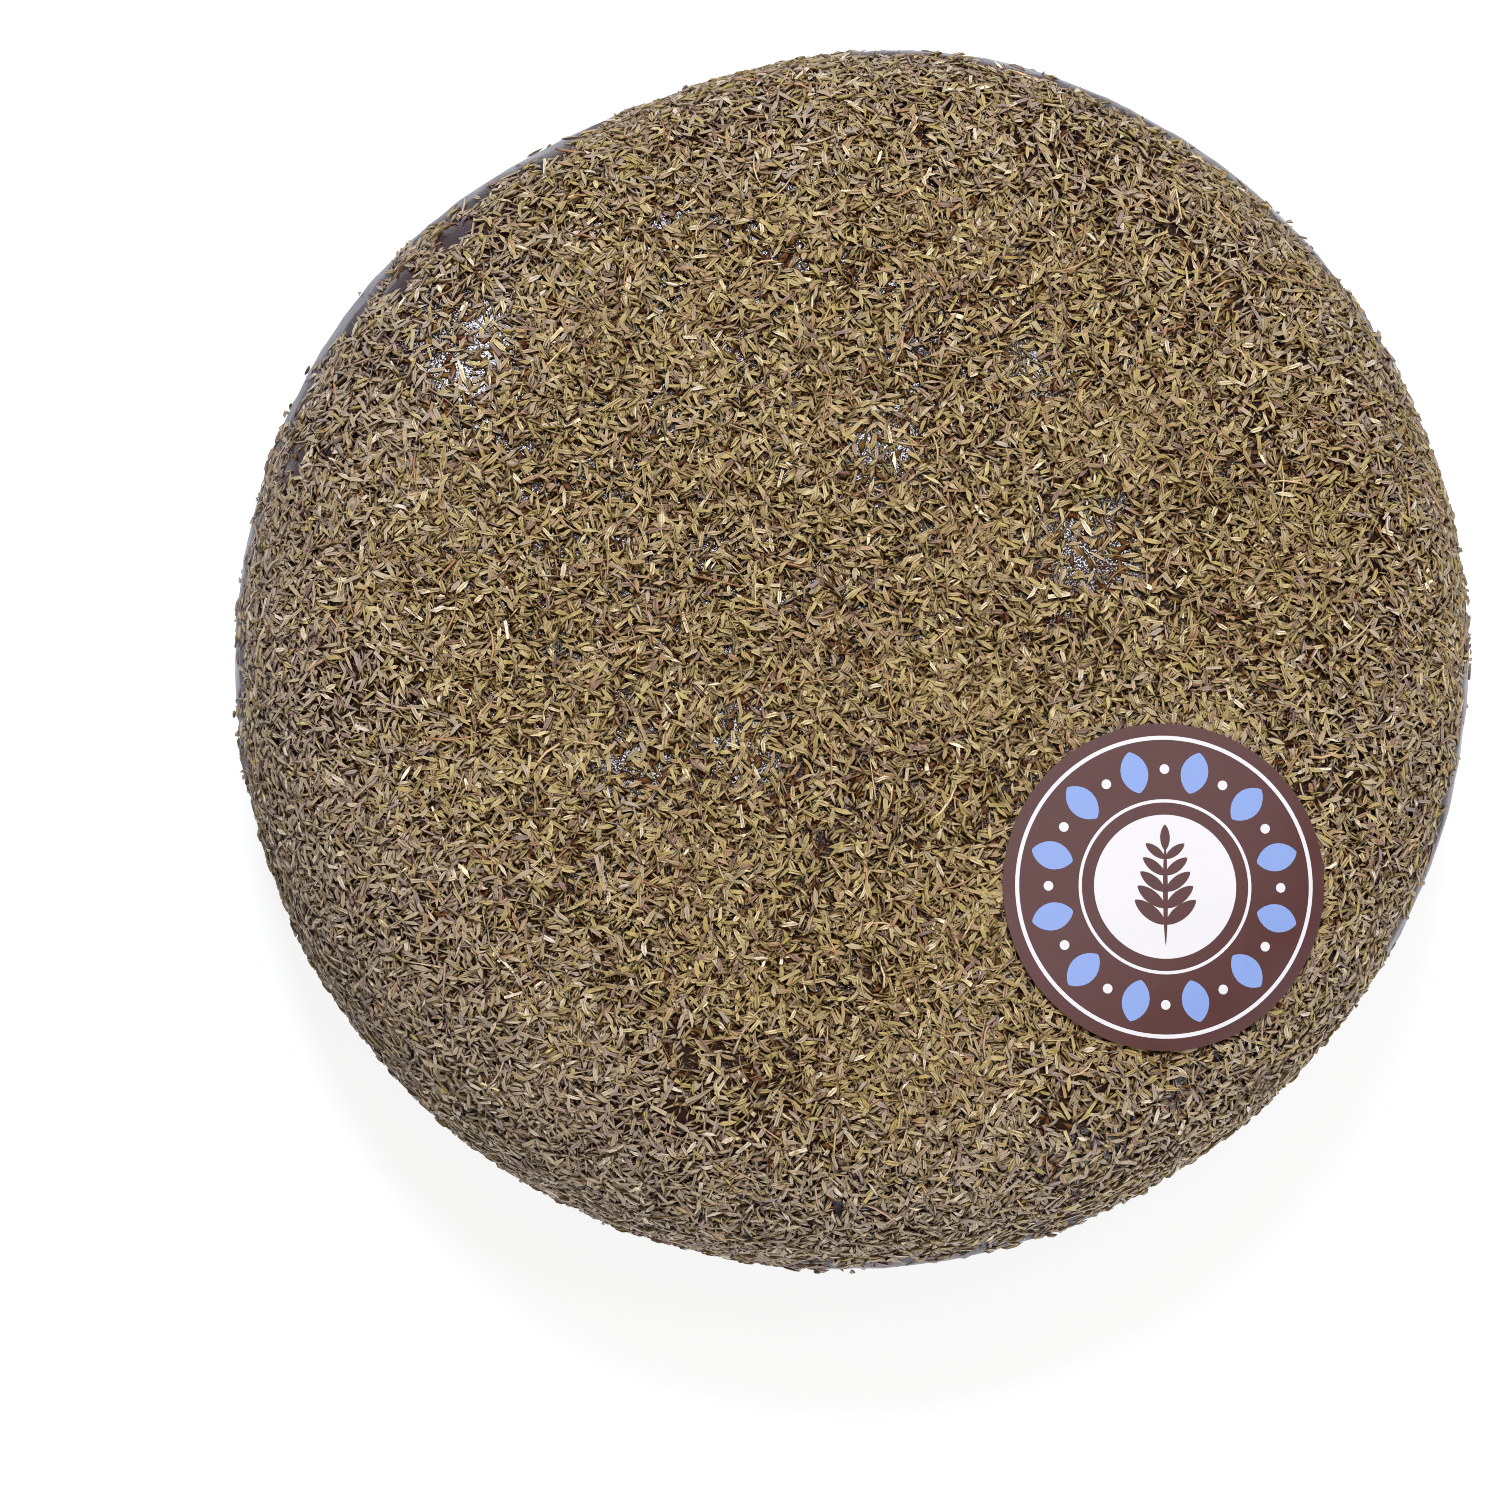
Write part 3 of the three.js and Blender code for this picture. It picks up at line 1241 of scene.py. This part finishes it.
        # Painted sheen share, read from the coat.
        painted_sheen = cls.attribute(graph, PAINTED_SHEEN_NAME, "FLOAT")
        greyed = graph.math("LESS_THAN", cls.random(graph, "FLOAT", 0.0, 1.0, Draw.GREYED), painted_sheen)
        look = graph.math("MULTIPLY_ADD", graph.math("SUBTRACT", grey, plain), greyed, plain)
        stored = graph.add("GeometryNodeStoreNamedAttribute", data_type="FLOAT", domain="INSTANCE")
        for key, value in (("Geometry", placed), ("Name", LOOK_NAME), ("Value", look)):
            graph.feed(stored, key, value)
        realized = graph.add("GeometryNodeRealizeInstances", {0: stored.outputs[0]}).outputs[0]
        where = graph.add("GeometryNodeInputPosition").outputs[0]
        parts = graph.add("ShaderNodeSeparateXYZ", {0: where}).outputs
        kept = graph.math("MAXIMUM", parts["Z"], given["Floor"])
        above = graph.add("ShaderNodeCombineXYZ", {"X": parts["X"], "Y": parts["Y"], "Z": kept}).outputs[0]
        return graph.add("GeometryNodeSetPosition", {"Geometry": realized, "Position": above}).outputs[0]

    @classmethod
    def map_looks(cls, graph: Graph, herbs: bpy.types.NodeSocket) -> bpy.types.NodeSocket:
        """Maps every herb to its square of the colour chart.

        Args:
            graph: The tree's graph.
            herbs: The realized mesh.

        Returns:
            The socket of the mesh with the chart's map.
        """
        look = cls.attribute(graph, LOOK_NAME, "FLOAT")
        row = graph.math("FLOOR", graph.math("DIVIDE", graph.math("ADD", look, 0.5), float(CHART_SIDE)))
        column = graph.math("SUBTRACT", look, graph.math("MULTIPLY", row, float(CHART_SIDE)))
        corner = graph.add("ShaderNodeCombineXYZ", {"X": column, "Y": row}).outputs[0]
        inside = graph.vector("ADD", corner, cls.attribute(graph, LEAF_MAP, "FLOAT_VECTOR"))
        chart = graph.scale(inside, 1.0 / CHART_SIDE)
        stored = graph.add("GeometryNodeStoreNamedAttribute", data_type="FLOAT2", domain="CORNER")
        for key, value in (("Geometry", herbs), ("Name", CHART_MAP), ("Value", chart)):
            graph.feed(stored, key, value)
        return stored.outputs[0]


@dataclass(frozen=True)
class HerbKind:
    """One kind of herb piece: its shapes, sizes and how it is strewn.

    Smallest and largest are the scales of length, width and height, in metres.
    """

    name: str
    shapes: tuple[LeafShape, ...]
    finish: HerbFinish
    count: int
    smallest: tuple[float, float, float]
    largest: tuple[float, float, float]
    seed: int
    tilt: float = math.radians(17)
    lift: float = 0.8 * MM

    def scatter(self, coat: bpy.types.Object, covered: float) -> bpy.types.Object:
        """Strews the kind over the coat.

        Args:
            coat: The coat, with its cover, press and painted sheen share.
            covered: The coat's area weighted by its cover, in square metres.

        Returns:
            The herbs as one plain mesh object.
        """
        shelf = bpy.data.collections.new(f"{self.name}_shapes")
        for number, shape in enumerate(self.shapes):
            title = f"{self.name}_{number}"
            shelf.objects.link(bpy.data.objects.new(title, shape.mesh(title)))
        values = {
            "Shapes": shelf,
            "Shape Count": len(self.shapes),
            "Density": self.count / covered,
            "Seed": self.seed,
            "Smallest": self.smallest,
            "Largest": self.largest,
            "Tilt": self.tilt,
            "Lift": self.lift,
            "Floor": 0.0,
            "Material": self.finish.material(),
        }
        mesh = self.realize(coat, values)
        for shape in list(shelf.objects):
            data = shape.data
            bpy.data.objects.remove(shape)
            bpy.data.meshes.remove(data)
        bpy.data.collections.remove(shelf)
        piece = show(self.name, mesh)
        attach(piece, BODY)
        return piece

    def realize(self, coat: bpy.types.Object, values: dict[str, object]) -> bpy.types.Mesh:
        """Runs the scatter tree on a copy of the coat.

        Args:
            coat: The coat.
            values: The tree's inputs by name.

        Returns:
            The plain mesh, with only the chart's map on it.
        """
        carrier = show(f"{self.name}_carrier", coat.data)
        tree = ScatterTree.tree()
        modifier = carrier.modifiers.new(ScatterTree.name, "NODES")
        modifier.node_group = tree
        for item in tree.interface.items_tree:
            if item.in_out == "INPUT" and item.name in values:
                modifier[item.identifier] = values[item.name]
        graph = bpy.context.evaluated_depsgraph_get()
        mesh = bpy.data.meshes.new_from_object(
            carrier.evaluated_get(graph), preserve_all_data_layers=True, depsgraph=graph
        )
        carrier.modifiers.remove(modifier)
        bpy.data.objects.remove(carrier)
        mesh.name = self.name
        used = (LEAF_MAP, LOOK_NAME, COVER_NAME, PRESS_NAME, PAINTED_SHEEN_NAME)
        spare = [a.name for a in mesh.attributes if a.name in used]
        for name in spare:
            mesh.attributes.remove(mesh.attributes[name])
        triangles = count_triangles(mesh)
        if triangles >= MOST_TRIANGLES:
            raise ValueError(f"{self.name} has {triangles} triangles")
        return mesh


class Herbs:
    """All the dried herb pieces of the crust."""

    leaf = HerbFinish(
        "dried_leaf",
        (
            ((118, 97, 90), 0.06),
            ((144, 109, 81), 0.1),
            ((156, 130, 102), 0.15),
            ((137, 129, 103), 0.24),
            ((167, 147, 118), 0.32),
            ((148, 126, 90), 0.41),
            ((154, 138, 97), 0.54),
            ((167, 150, 107), 0.66),
            ((148, 132, 80), 0.8),
            ((169, 154, 108), 0.93),
            ((200, 183, 150), 0.985),
            ((225, 214, 191), 1.0),
        ),
    )
    # Painted shade: the under layer's leaves take darker tones than those on top, for the shade of the
    # leaves above them.
    shaded = HerbFinish(
        "shaded_leaf",
        (
            ((109, 75, 56), 0.35),
            ((119, 84, 58), 0.65),
            ((125, 100, 63), 1.0),
        ),
        edge=0.2,
        specular=0.05,
    )
    stem = HerbFinish(
        "dried_stem",
        (
            ((160, 118, 89), 0.3),
            ((181, 146, 110), 0.65),
            ((211, 187, 150), 1.0),
        ),
        tip=0.1,
        groove=0.1,
        edge=0.2,
    )
    bud = HerbFinish(
        "dried_bud",
        (
            ((138, 101, 79), 0.3),
            ((168, 133, 101), 0.6),
            ((184, 156, 118), 0.87),
            ((219, 202, 170), 1.0),
        ),
        tip=0.15,
        groove=0.0,
    )

    @staticmethod
    def spindle(belly: float, ridge: float, lean: float = 0.0) -> tuple[tuple[float, float, float], ...]:
        """Stations of a leaf that runs to a point at both ends.

        Args:
            belly: Half of the greatest width.
            ridge: Height of the ridge.
            lean: Moves the widest place towards the tip.

        Returns:
            Rows of place, half width and ridge height.
        """
        first, second = 0.26 + lean, 0.68 + lean
        return (
            (0.0, 0.0, 0.3 * ridge),
            (first, 0.92 * belly, ridge),
            (second, belly, 0.95 * ridge),
            (1.0, 0.0, 0.25 * ridge),
        )

    @staticmethod
    def blade(belly: float, lean: float = 0.0) -> tuple[tuple[float, float, float], ...]:
        """Stations of a flat leaf that runs to a point at both ends.

        Args:
            belly: Half of the greatest width.
            lean: Moves the widest place towards the tip.

        Returns:
            Rows of place, half width and height.
        """
        return (
            (0.0, 0.0, 0.9),
            (0.28 + lean, 0.92 * belly, 1.0),
            (0.68 + lean, belly, 0.95),
            (1.0, 0.0, 1.05),
        )

    @classmethod
    def kinds(cls) -> tuple[HerbKind, ...]:
        """Lists the kinds, from the lowest layer to the loose bits on top."""
        chip = ((0.0, 0.4, 0.7), (1.0, 0.5, 0.6))
        sliver = ((0.0, 0.28, 0.5), (1.0, 0.46, 0.75))
        ragged = ((0.0, 0.0, 0.4), (0.4, 0.5, 0.7), (1.0, 0.34, 0.5))
        twig = ((0.0, 0.5, 0.8), (0.35, 0.46, 0.9), (0.7, 0.42, 0.8), (1.0, 0.3, 0.7))
        flake = ((0.0, 0.0, 0.3), (0.45, 0.5, 0.8), (1.0, 0.0, 0.2))
        diamond = ((0.0, 0.0, 0.9), (0.48, 0.5, 1.0), (1.0, 0.0, 1.05))
        strip = ((0.0, 0.36, 1.0), (1.0, 0.42, 0.9))
        half, full = 0.5, 1.0
        return (
            HerbKind(
                "under_leaves",
                (LeafShape(flake), LeafShape(flake, sickle=0.3), LeafShape(flake, sickle=-0.3)),
                cls.shaded,
                22000,
                (3.0 * MM, 1.1 * MM, 0.35 * MM),
                (5.0 * MM, 1.8 * MM, 0.6 * MM),
                77,
                tilt=math.radians(7),
                lift=0.35 * MM,
            ),
            HerbKind(
                "broken_leaves",
                (LeafShape(chip, lid=True), LeafShape(sliver), LeafShape(ragged, lid=True)),
                cls.leaf,
                10000,
                (1.2 * MM, 0.5 * MM, 0.3 * MM),
                (2.6 * MM, 1.2 * MM, 0.55 * MM),
                101,
                lift=1.2 * MM,
            ),
            HerbKind(
                "lance_leaves",
                (
                    LeafShape(cls.blade(half), arch=0.5, lid=True),
                    LeafShape(diamond, sickle=0.2, lid=True),
                    LeafShape(strip, twist=0.3, lid=True),
                ),
                cls.leaf,
                22500,
                (2.7 * MM, 0.58 * MM, 0.4 * MM),
                (4.7 * MM, 1.05 * MM, 0.7 * MM),
                202,
                lift=1.2 * MM,
            ),
            HerbKind(
                "curled_leaves",
                (
                    LeafShape(cls.spindle(half, full), arch=0.6, sickle=0.45),
                    LeafShape(flake, arch=0.5, sickle=-0.5),
                    LeafShape(cls.blade(half, -0.05), arch=0.9, sickle=0.3, twist=-0.6, lid=True),
                ),
                cls.leaf,
                19500,
                (2.6 * MM, 0.54 * MM, 0.5 * MM),
                (4.5 * MM, 0.92 * MM, 0.8 * MM),
                303,
                lift=1.3 * MM,
            ),
            HerbKind(
                "rolled_leaves",
                (
                    LeafShape(cls.spindle(half, full), sickle=-0.3, arch=0.3),
                    LeafShape(flake, sickle=0.35),
                    LeafShape(sliver, twist=0.4),
                ),
                cls.leaf,
                22500,
                (2.8 * MM, 0.45 * MM, 0.5 * MM),
                (5.2 * MM, 0.75 * MM, 0.8 * MM),
                404,
                lift=1.4 * MM,
            ),
            HerbKind(
                "needle_leaves",
                (LeafShape(flake), LeafShape(flake, arch=0.5), LeafShape(flake, sickle=0.4)),
                cls.leaf,
                27000,
                (2.1 * MM, 0.34 * MM, 0.45 * MM),
                (4.5 * MM, 0.62 * MM, 0.8 * MM),
                454,
                lift=1.5 * MM,
            ),
            HerbKind(
                "stems",
                (
                    LeafShape(twig),
                    LeafShape(twig, sickle=0.9),
                    LeafShape(twig, sickle=-1.4, arch=0.5),
                ),
                cls.stem,
                1000,
                (5.0 * MM, 0.4 * MM, 0.4 * MM),
                (10.5 * MM, 0.7 * MM, 0.7 * MM),
                505,
                tilt=math.radians(6),
                lift=1.5 * MM,
            ),
            HerbKind(
                "buds",
                (LeafShape(flake), LeafShape(flake, twist=0.8), LeafShape(flake, arch=0.5)),
                cls.bud,
                1100,
                (1.0 * MM, 0.8 * MM, 0.4 * MM),
                (2.6 * MM, 1.8 * MM, 0.9 * MM),
                606,
                tilt=math.radians(12),
                lift=0.9 * MM,
            ),
        )

    @staticmethod
    def covered_area(coat: bpy.types.Object) -> float:
        """Adds up the coat's area, weighted by the herbs' cover, in square metres."""
        mesh = coat.data
        cover = np.zeros(len(mesh.vertices), np.float32)
        mesh.attributes[COVER_NAME].data.foreach_get("value", cover)
        return float(sum(face.area * cover[list(face.vertices)].mean() for face in mesh.polygons))

    @classmethod
    def build(cls, coat: bpy.types.Object) -> list[bpy.types.Object]:
        """Strews every kind.

        Args:
            coat: The coat that the herbs lie on.

        Returns:
            One object for each kind.
        """
        covered = cls.covered_area(coat)
        return [kind.scatter(coat, covered) for kind in cls.kinds()]


def round_loops(radii: Sequence[float], steps: int) -> list[Loop]:
    """Makes circles about a middle, with one point for a radius of nothing."""
    turn = np.linspace(0, 2 * math.pi, steps, endpoint=False)
    circle = np.column_stack([np.cos(turn), np.sin(turn)])
    return [circle * radius if radius > 0 else np.zeros((1, 2)) for radius in radii]


def leaf_loops(root: np.ndarray, angle: float, length: float, width: float, steps: int) -> list[Loop]:
    """Makes a pointed oval that starts at a root.

    Args:
        root: Where it starts.
        angle: Which way it points, in radians.
        length: Its length.
        width: Its width.
        steps: Points round it.

    Returns:
        Its outline and the loops inside it.
    """
    turn = np.linspace(0, 2 * math.pi, steps, endpoint=False)
    along = length / 2 * np.cos(turn)
    across = width / 2 * np.sin(turn) * np.sqrt(np.abs(np.sin(turn)))
    ahead = np.array([math.cos(angle), math.sin(angle)])
    aside = np.array([-ahead[1], ahead[0]])
    middle = root + ahead * length / 2
    outline = along[:, None] * ahead + across[:, None] * aside
    return [middle + outline * share for share in (1.0, 0.5)] + [middle[None, :]]


@dataclass(frozen=True)
class LabelDesign:
    """A plain herb design: a ring of petals and dots round a sprig. Its sizes are shares of the radius."""

    radius: float
    segments: int
    disc: tuple[float, ...] = (0.44, 0.33, 0.22, 0.11, 0.0)
    lines: tuple[tuple[float, float], ...] = ((0.535, 0.515), (0.925, 0.9))
    petals: int = 12
    dot_ring: float = 0.72
    dot: float = 0.03
    dot_steps: int = 20
    petal_ring: float = 0.59
    petal_length: float = 0.26
    petal_width: float = 0.17
    leaf_steps: int = 24
    sprig_foot: float = -0.36
    stalk_length: float = 0.64
    stalk_width: float = 0.03
    leaflet_pairs: int = 5
    leaflet_start: float = 0.13
    leaflet_step: float = 0.1
    leaflet_length: float = 0.24
    leaflet_loss: float = 0.022
    leaflet_slimness: float = 0.36
    leaflet_angle: float = math.radians(52)
    tip_start: float = 0.58
    tip_length: float = 0.16
    tip_width: float = 0.06

    def turns(self, shift: float) -> list[float]:
        """Lists the azimuths of the ring's places, moved by a share of the space between them."""
        return [2 * math.pi * (number + shift) / self.petals for number in range(self.petals)]

    def leaf(self, root: np.ndarray, angle: float, length: float, width: float) -> list[Loop]:
        """Makes one pointed oval from shares of the radius.

        Args:
            root: Where it starts.
            angle: Which way it points, in radians.
            length: Its length.
            width: Its width.

        Returns:
            Its loops.
        """
        unit = self.radius
        return leaf_loops(root * unit, angle, length * unit, width * unit, self.leaf_steps)

    def white(self) -> list[list[Loop]]:
        """Lists the loops of the disc, the two fine rings and the dots."""
        shapes = []
        for circle in (self.disc, *self.lines):
            shapes.append(round_loops([self.radius * share for share in circle], self.segments))
        for turn in self.turns(0.0):
            spot = self.dot_ring * self.radius * np.array([math.cos(turn), math.sin(turn)])
            dot = round_loops((self.dot * self.radius, 0.0), self.dot_steps)
            shapes.append([spot + loop for loop in dot])
        return shapes

    def blue(self) -> list[list[Loop]]:
        """Lists the loops of the petals, each between two dots."""
        shapes = []
        for turn in self.turns(0.5):
            root = self.petal_ring * np.array([math.cos(turn), math.sin(turn)])
            shapes.append(self.leaf(root, turn, self.petal_length, self.petal_width))
        return shapes

    def brown(self) -> list[list[Loop]]:
        """Lists the loops of the sprig: its stalk, its pairs of leaflets and its tip."""
        up = math.pi / 2
        foot = np.array([0.0, self.sprig_foot])
        shapes = [self.leaf(foot, up, self.stalk_length, self.stalk_width)]
        for pair in range(self.leaflet_pairs):
            root = foot + np.array([0.0, self.leaflet_start + self.leaflet_step * pair])
            size = self.leaflet_length - self.leaflet_loss * pair
            for side in (-1, 1):
                angle = up + side * self.leaflet_angle
                shapes.append(self.leaf(root, angle, size, self.leaflet_slimness * size))
        tip = foot + np.array([0.0, self.tip_start])
        return shapes + [self.leaf(tip, up, self.tip_length, self.tip_width)]


@dataclass
class Label:
    """The round paper label, with its design printed in three inks."""

    form: WheelForm
    place: LabelPlace
    rings: int = 20
    segments: int = 120
    film: float = 0.03 * MM
    crease: float = math.radians(35)
    sink: float = 0.03 * MM
    paper: PaperFinish = PaperFinish("brown_paper", (78, 46, 47))
    white: PaperFinish = PaperFinish("white_ink", (199, 198, 203), mottle=0.05)
    blue: PaperFinish = PaperFinish("blue_ink", (123, 145, 196), mottle=0.1)
    brown: PaperFinish = PaperFinish("brown_ink", (78, 46, 47))

    @property
    def radius(self) -> float:
        """The label's radius."""
        return self.place.diameter / 2

    def lay(self, plan: np.ndarray, level: float) -> np.ndarray:
        """Lays plan points on the wheel.

        Args:
            plan: Points from the label's middle.
            level: Height over the crust.

        Returns:
            Points in the wheel's frame.
        """
        spot = plan + self.place.middle(self.form)
        height = self.form.upper_height(spot[:, 0], spot[:, 1]) + level
        return np.column_stack([spot, height])

    def plate(
        self, loops: Sequence[Loop], low: float, high: float
    ) -> tuple[np.ndarray, list[tuple[int, ...]]]:
        """Makes a thin closed plate between loops that shrink inwards.

        Args:
            loops: Loops of equally many points, from the outline inwards. A last loop of one point
                closes it.
            low: Level of the under face.
            high: Level of the upper face.

        Returns:
            Vertices and faces.
        """
        starts = np.cumsum([0] + [len(loop) for loop in loops])
        total = int(starts[-1])
        plan = np.concatenate(loops)
        places = np.concatenate([self.lay(plan, high), self.lay(plan, low)])
        faces: list[tuple[int, ...]] = []
        count = len(loops[0])
        for number in range(len(loops) - 1):
            outer, inner = int(starts[number]), int(starts[number + 1])
            for side in range(count):
                after = (side + 1) % count
                if len(loops[number + 1]) == 1:
                    ring = (outer + side, outer + after, inner)
                else:
                    ring = (outer + side, outer + after, inner + after, inner + side)
                faces.append(ring)
                faces.append(tuple(total + corner for corner in ring[::-1]))
        edges = [(int(starts[0]), False)]
        if len(loops[-1]) > 1:
            edges.append((int(starts[-2]), True))
        for start, inward in edges:
            for side in range(count):
                one, two = start + side, start + (side + 1) % count
                wall = (one, total + one, total + two, two)
                faces.append(wall[::-1] if inward else wall)
        return places, faces

    def build(self) -> list[bpy.types.Object]:
        """Builds the paper and its inks.

        Returns:
            The label's objects, the paper first.
        """
        base = self.place.gap
        top = base + self.place.thickness
        radii = np.linspace(self.radius, 0.0, self.rings + 1)
        mesh = new_mesh("label_paper", *self.plate(round_loops(radii, self.segments), base, top))
        mesh.set_sharp_from_angle(angle=self.crease)
        mesh.materials.append(self.paper.material())
        made = [show("label_paper", mesh)]
        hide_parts(Node.LABEL.value)
        design = LabelDesign(self.radius, self.segments)
        inks = (
            ("white", design.white(), self.white, 1),
            ("blue", design.blue(), self.blue, 1),
            ("brown", design.brown(), self.brown, 2),
        )
        for ink, shapes, finish, level in inks:
            places: list[np.ndarray] = []
            faces: list[tuple[int, ...]] = []
            for loops in shapes:
                start = sum(len(part) for part in places)
                part, ring = self.plate(loops, top - self.sink, top + level * self.film)
                places.append(part)
                faces += [tuple(start + corner for corner in face) for face in ring]
            printed = new_mesh(f"label_{ink}_print", np.concatenate(places), faces)
            printed.set_sharp_from_angle(angle=self.crease)
            printed.materials.append(finish.material())
            made.append(show(printed.name, printed))
        for piece in made:
            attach(piece, BODY)
        return made


@dataclass(frozen=True)
class SoftLight:
    """A square studio lamp, aimed at the wheel."""

    name: str
    azimuth: float
    elevation: float
    distance: float
    side: float
    watts: float
    tint: tuple[float, float, float] = (1.0, 1.0, 1.0)

    def build(self, target: Vector) -> None:
        """Hangs the lamp."""
        lamp = bpy.data.lights.new(self.name, "AREA")
        lamp.shape = "SQUARE"
        lamp.size = self.side
        lamp.energy = self.watts
        lamp.color = self.tint
        holder = bpy.data.objects.new(self.name, lamp)
        away = direction(self.azimuth, self.elevation)
        holder.location = target + away * self.distance
        holder.rotation_mode = "QUATERNION"
        holder.rotation_quaternion = away.to_track_quat("Z", "Y")
        bpy.context.scene.collection.objects.link(holder)


@dataclass(frozen=True)
class Studio:
    """The pale floor, the soft light and the camera over the labelled face."""

    form: WheelForm
    frame_px: float = 1500
    wheel_px: float = 1226
    middle_px: tuple[float, float] = (853.4, 658.5)
    lens: float = 120
    sensor: float = 36
    tilt: float = math.radians(9.5)
    lean_azimuth: float = math.radians(225)
    floor_side: float = 8.0
    floor_drop: float = 0.05 * MM
    floor_colour: tuple[float, float, float] = (0.2, 0.215, 0.245)
    floor_glow: float = 0.68
    floor_roughness: float = 0.9
    floor_specular: float = 0.1
    horizon: tuple[float, float, float] = (0.6, 0.8, 1.25)
    zenith: tuple[float, float, float] = (0.4, 0.29, 0.06)
    sky_power: float = 2.0
    pixel_filter: float = 1.0
    lights: tuple[SoftLight, ...] = (
        SoftLight("key", math.radians(105), math.radians(64), 1.5, 0.35, 20.8, (0.885, 0.93, 1.05)),
        SoftLight("glint", math.radians(45), math.radians(80), 1.4, 0.15, 1.2),
        SoftLight("fill", math.radians(-60), math.radians(15), 1.8, 1.2, 18.0, (0.94, 1.0, 1.1)),
    )

    def floor(self) -> None:
        """Lays the floor."""
        half = self.floor_side / 2
        corners = np.array([(-half, -half), (half, -half), (half, half), (-half, half)])
        places = np.column_stack([corners, np.full(4, -self.floor_drop)])
        material, graph, shader = new_material("pale_floor")
        graph.feed(shader, "Base Color", (*self.floor_colour, 1.0))
        graph.feed(shader, "Roughness", self.floor_roughness)
        graph.feed(shader, "Specular IOR Level", self.floor_specular)
        graph.feed(shader, "Emission Color", (1.0, 1.0, 1.0, 1.0))
        graph.feed(shader, "Emission Strength", self.floor_glow)
        mesh = new_mesh("floor", places, [(0, 1, 2, 3)])
        mesh.materials.append(material)
        show("floor", mesh)

    def camera(self) -> None:
        """Aims the camera so that the wheel has the photograph's size and place in the frame."""
        middle = Vector((0.0, 0.0, self.form.half))
        away = direction(self.lean_azimuth, math.pi / 2 - self.tilt)
        pixel = self.form.diameter / self.wheel_px
        distance = self.frame_px * pixel * self.lens / self.sensor
        eye = middle + away * distance
        right = Vector((0.0, 1.0, 0.0)).cross(away).normalized()
        up = away.cross(right)
        aside = (self.middle_px[0] - self.frame_px / 2) * pixel
        above = (self.frame_px / 2 - self.middle_px[1]) * pixel
        back = (eye - (middle - right * aside - up * above)).normalized()
        right = Vector((0.0, 1.0, 0.0)).cross(back).normalized()
        up = back.cross(right)
        data = bpy.data.cameras.new("camera")
        data.lens = self.lens
        data.sensor_width = self.sensor
        holder = bpy.data.objects.new("camera", data)
        holder.matrix_world = Matrix.Translation(eye) @ Matrix((right, up, back)).transposed().to_4x4()
        bpy.context.scene.collection.objects.link(holder)
        bpy.context.scene.camera = holder

    def sky(self) -> bpy.types.World:
        """Makes a sky that is bright and cool at the horizon, dim and warm overhead."""
        world = bpy.data.worlds.new("soft_sky")
        world.use_nodes = True
        graph = Graph(world.node_tree)
        shader = next(n for n in world.node_tree.nodes if n.type == "BACKGROUND")
        ahead = graph.add("ShaderNodeTexCoord").outputs["Generated"]
        height = graph.math("MAXIMUM", graph.add("ShaderNodeSeparateXYZ", {0: ahead}).outputs["Z"], 0.0)
        low = graph.math("POWER", graph.math("SUBTRACT", 1.0, height), self.sky_power)
        graph.feed(shader, "Color", graph.blend(low, (*self.zenith, 1.0), (*self.horizon, 1.0)))
        return world

    def build(self) -> None:
        """Sets up the sky, the floor, the lights and the camera."""
        scene = bpy.context.scene
        scene.view_settings.view_transform = "Standard"
        scene.view_settings.look = "Medium High Contrast"
        scene.cycles.filter_width = self.pixel_filter
        scene.world = self.sky()
        self.floor()
        for light in self.lights:
            light.build(Vector((0.0, 0.0, self.form.half)))
        self.camera()


def main() -> None:
    """Builds the wheel, its herbs and its label, and the studio round them."""
    logging.basicConfig(level=logging.INFO)
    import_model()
    form, place = WheelForm(), LabelPlace()
    coat = Coat(form, place)
    core = coat.build()
    herbs = Herbs.build(core)
    coat.dress(core)
    made = [core, *herbs, *Label(form, place).build()]
    for piece in made:
        LOG.info("%s: %d triangles", piece.name, count_triangles(piece.data))
    Studio(form).build()


if __name__ == "__main__":
    main()
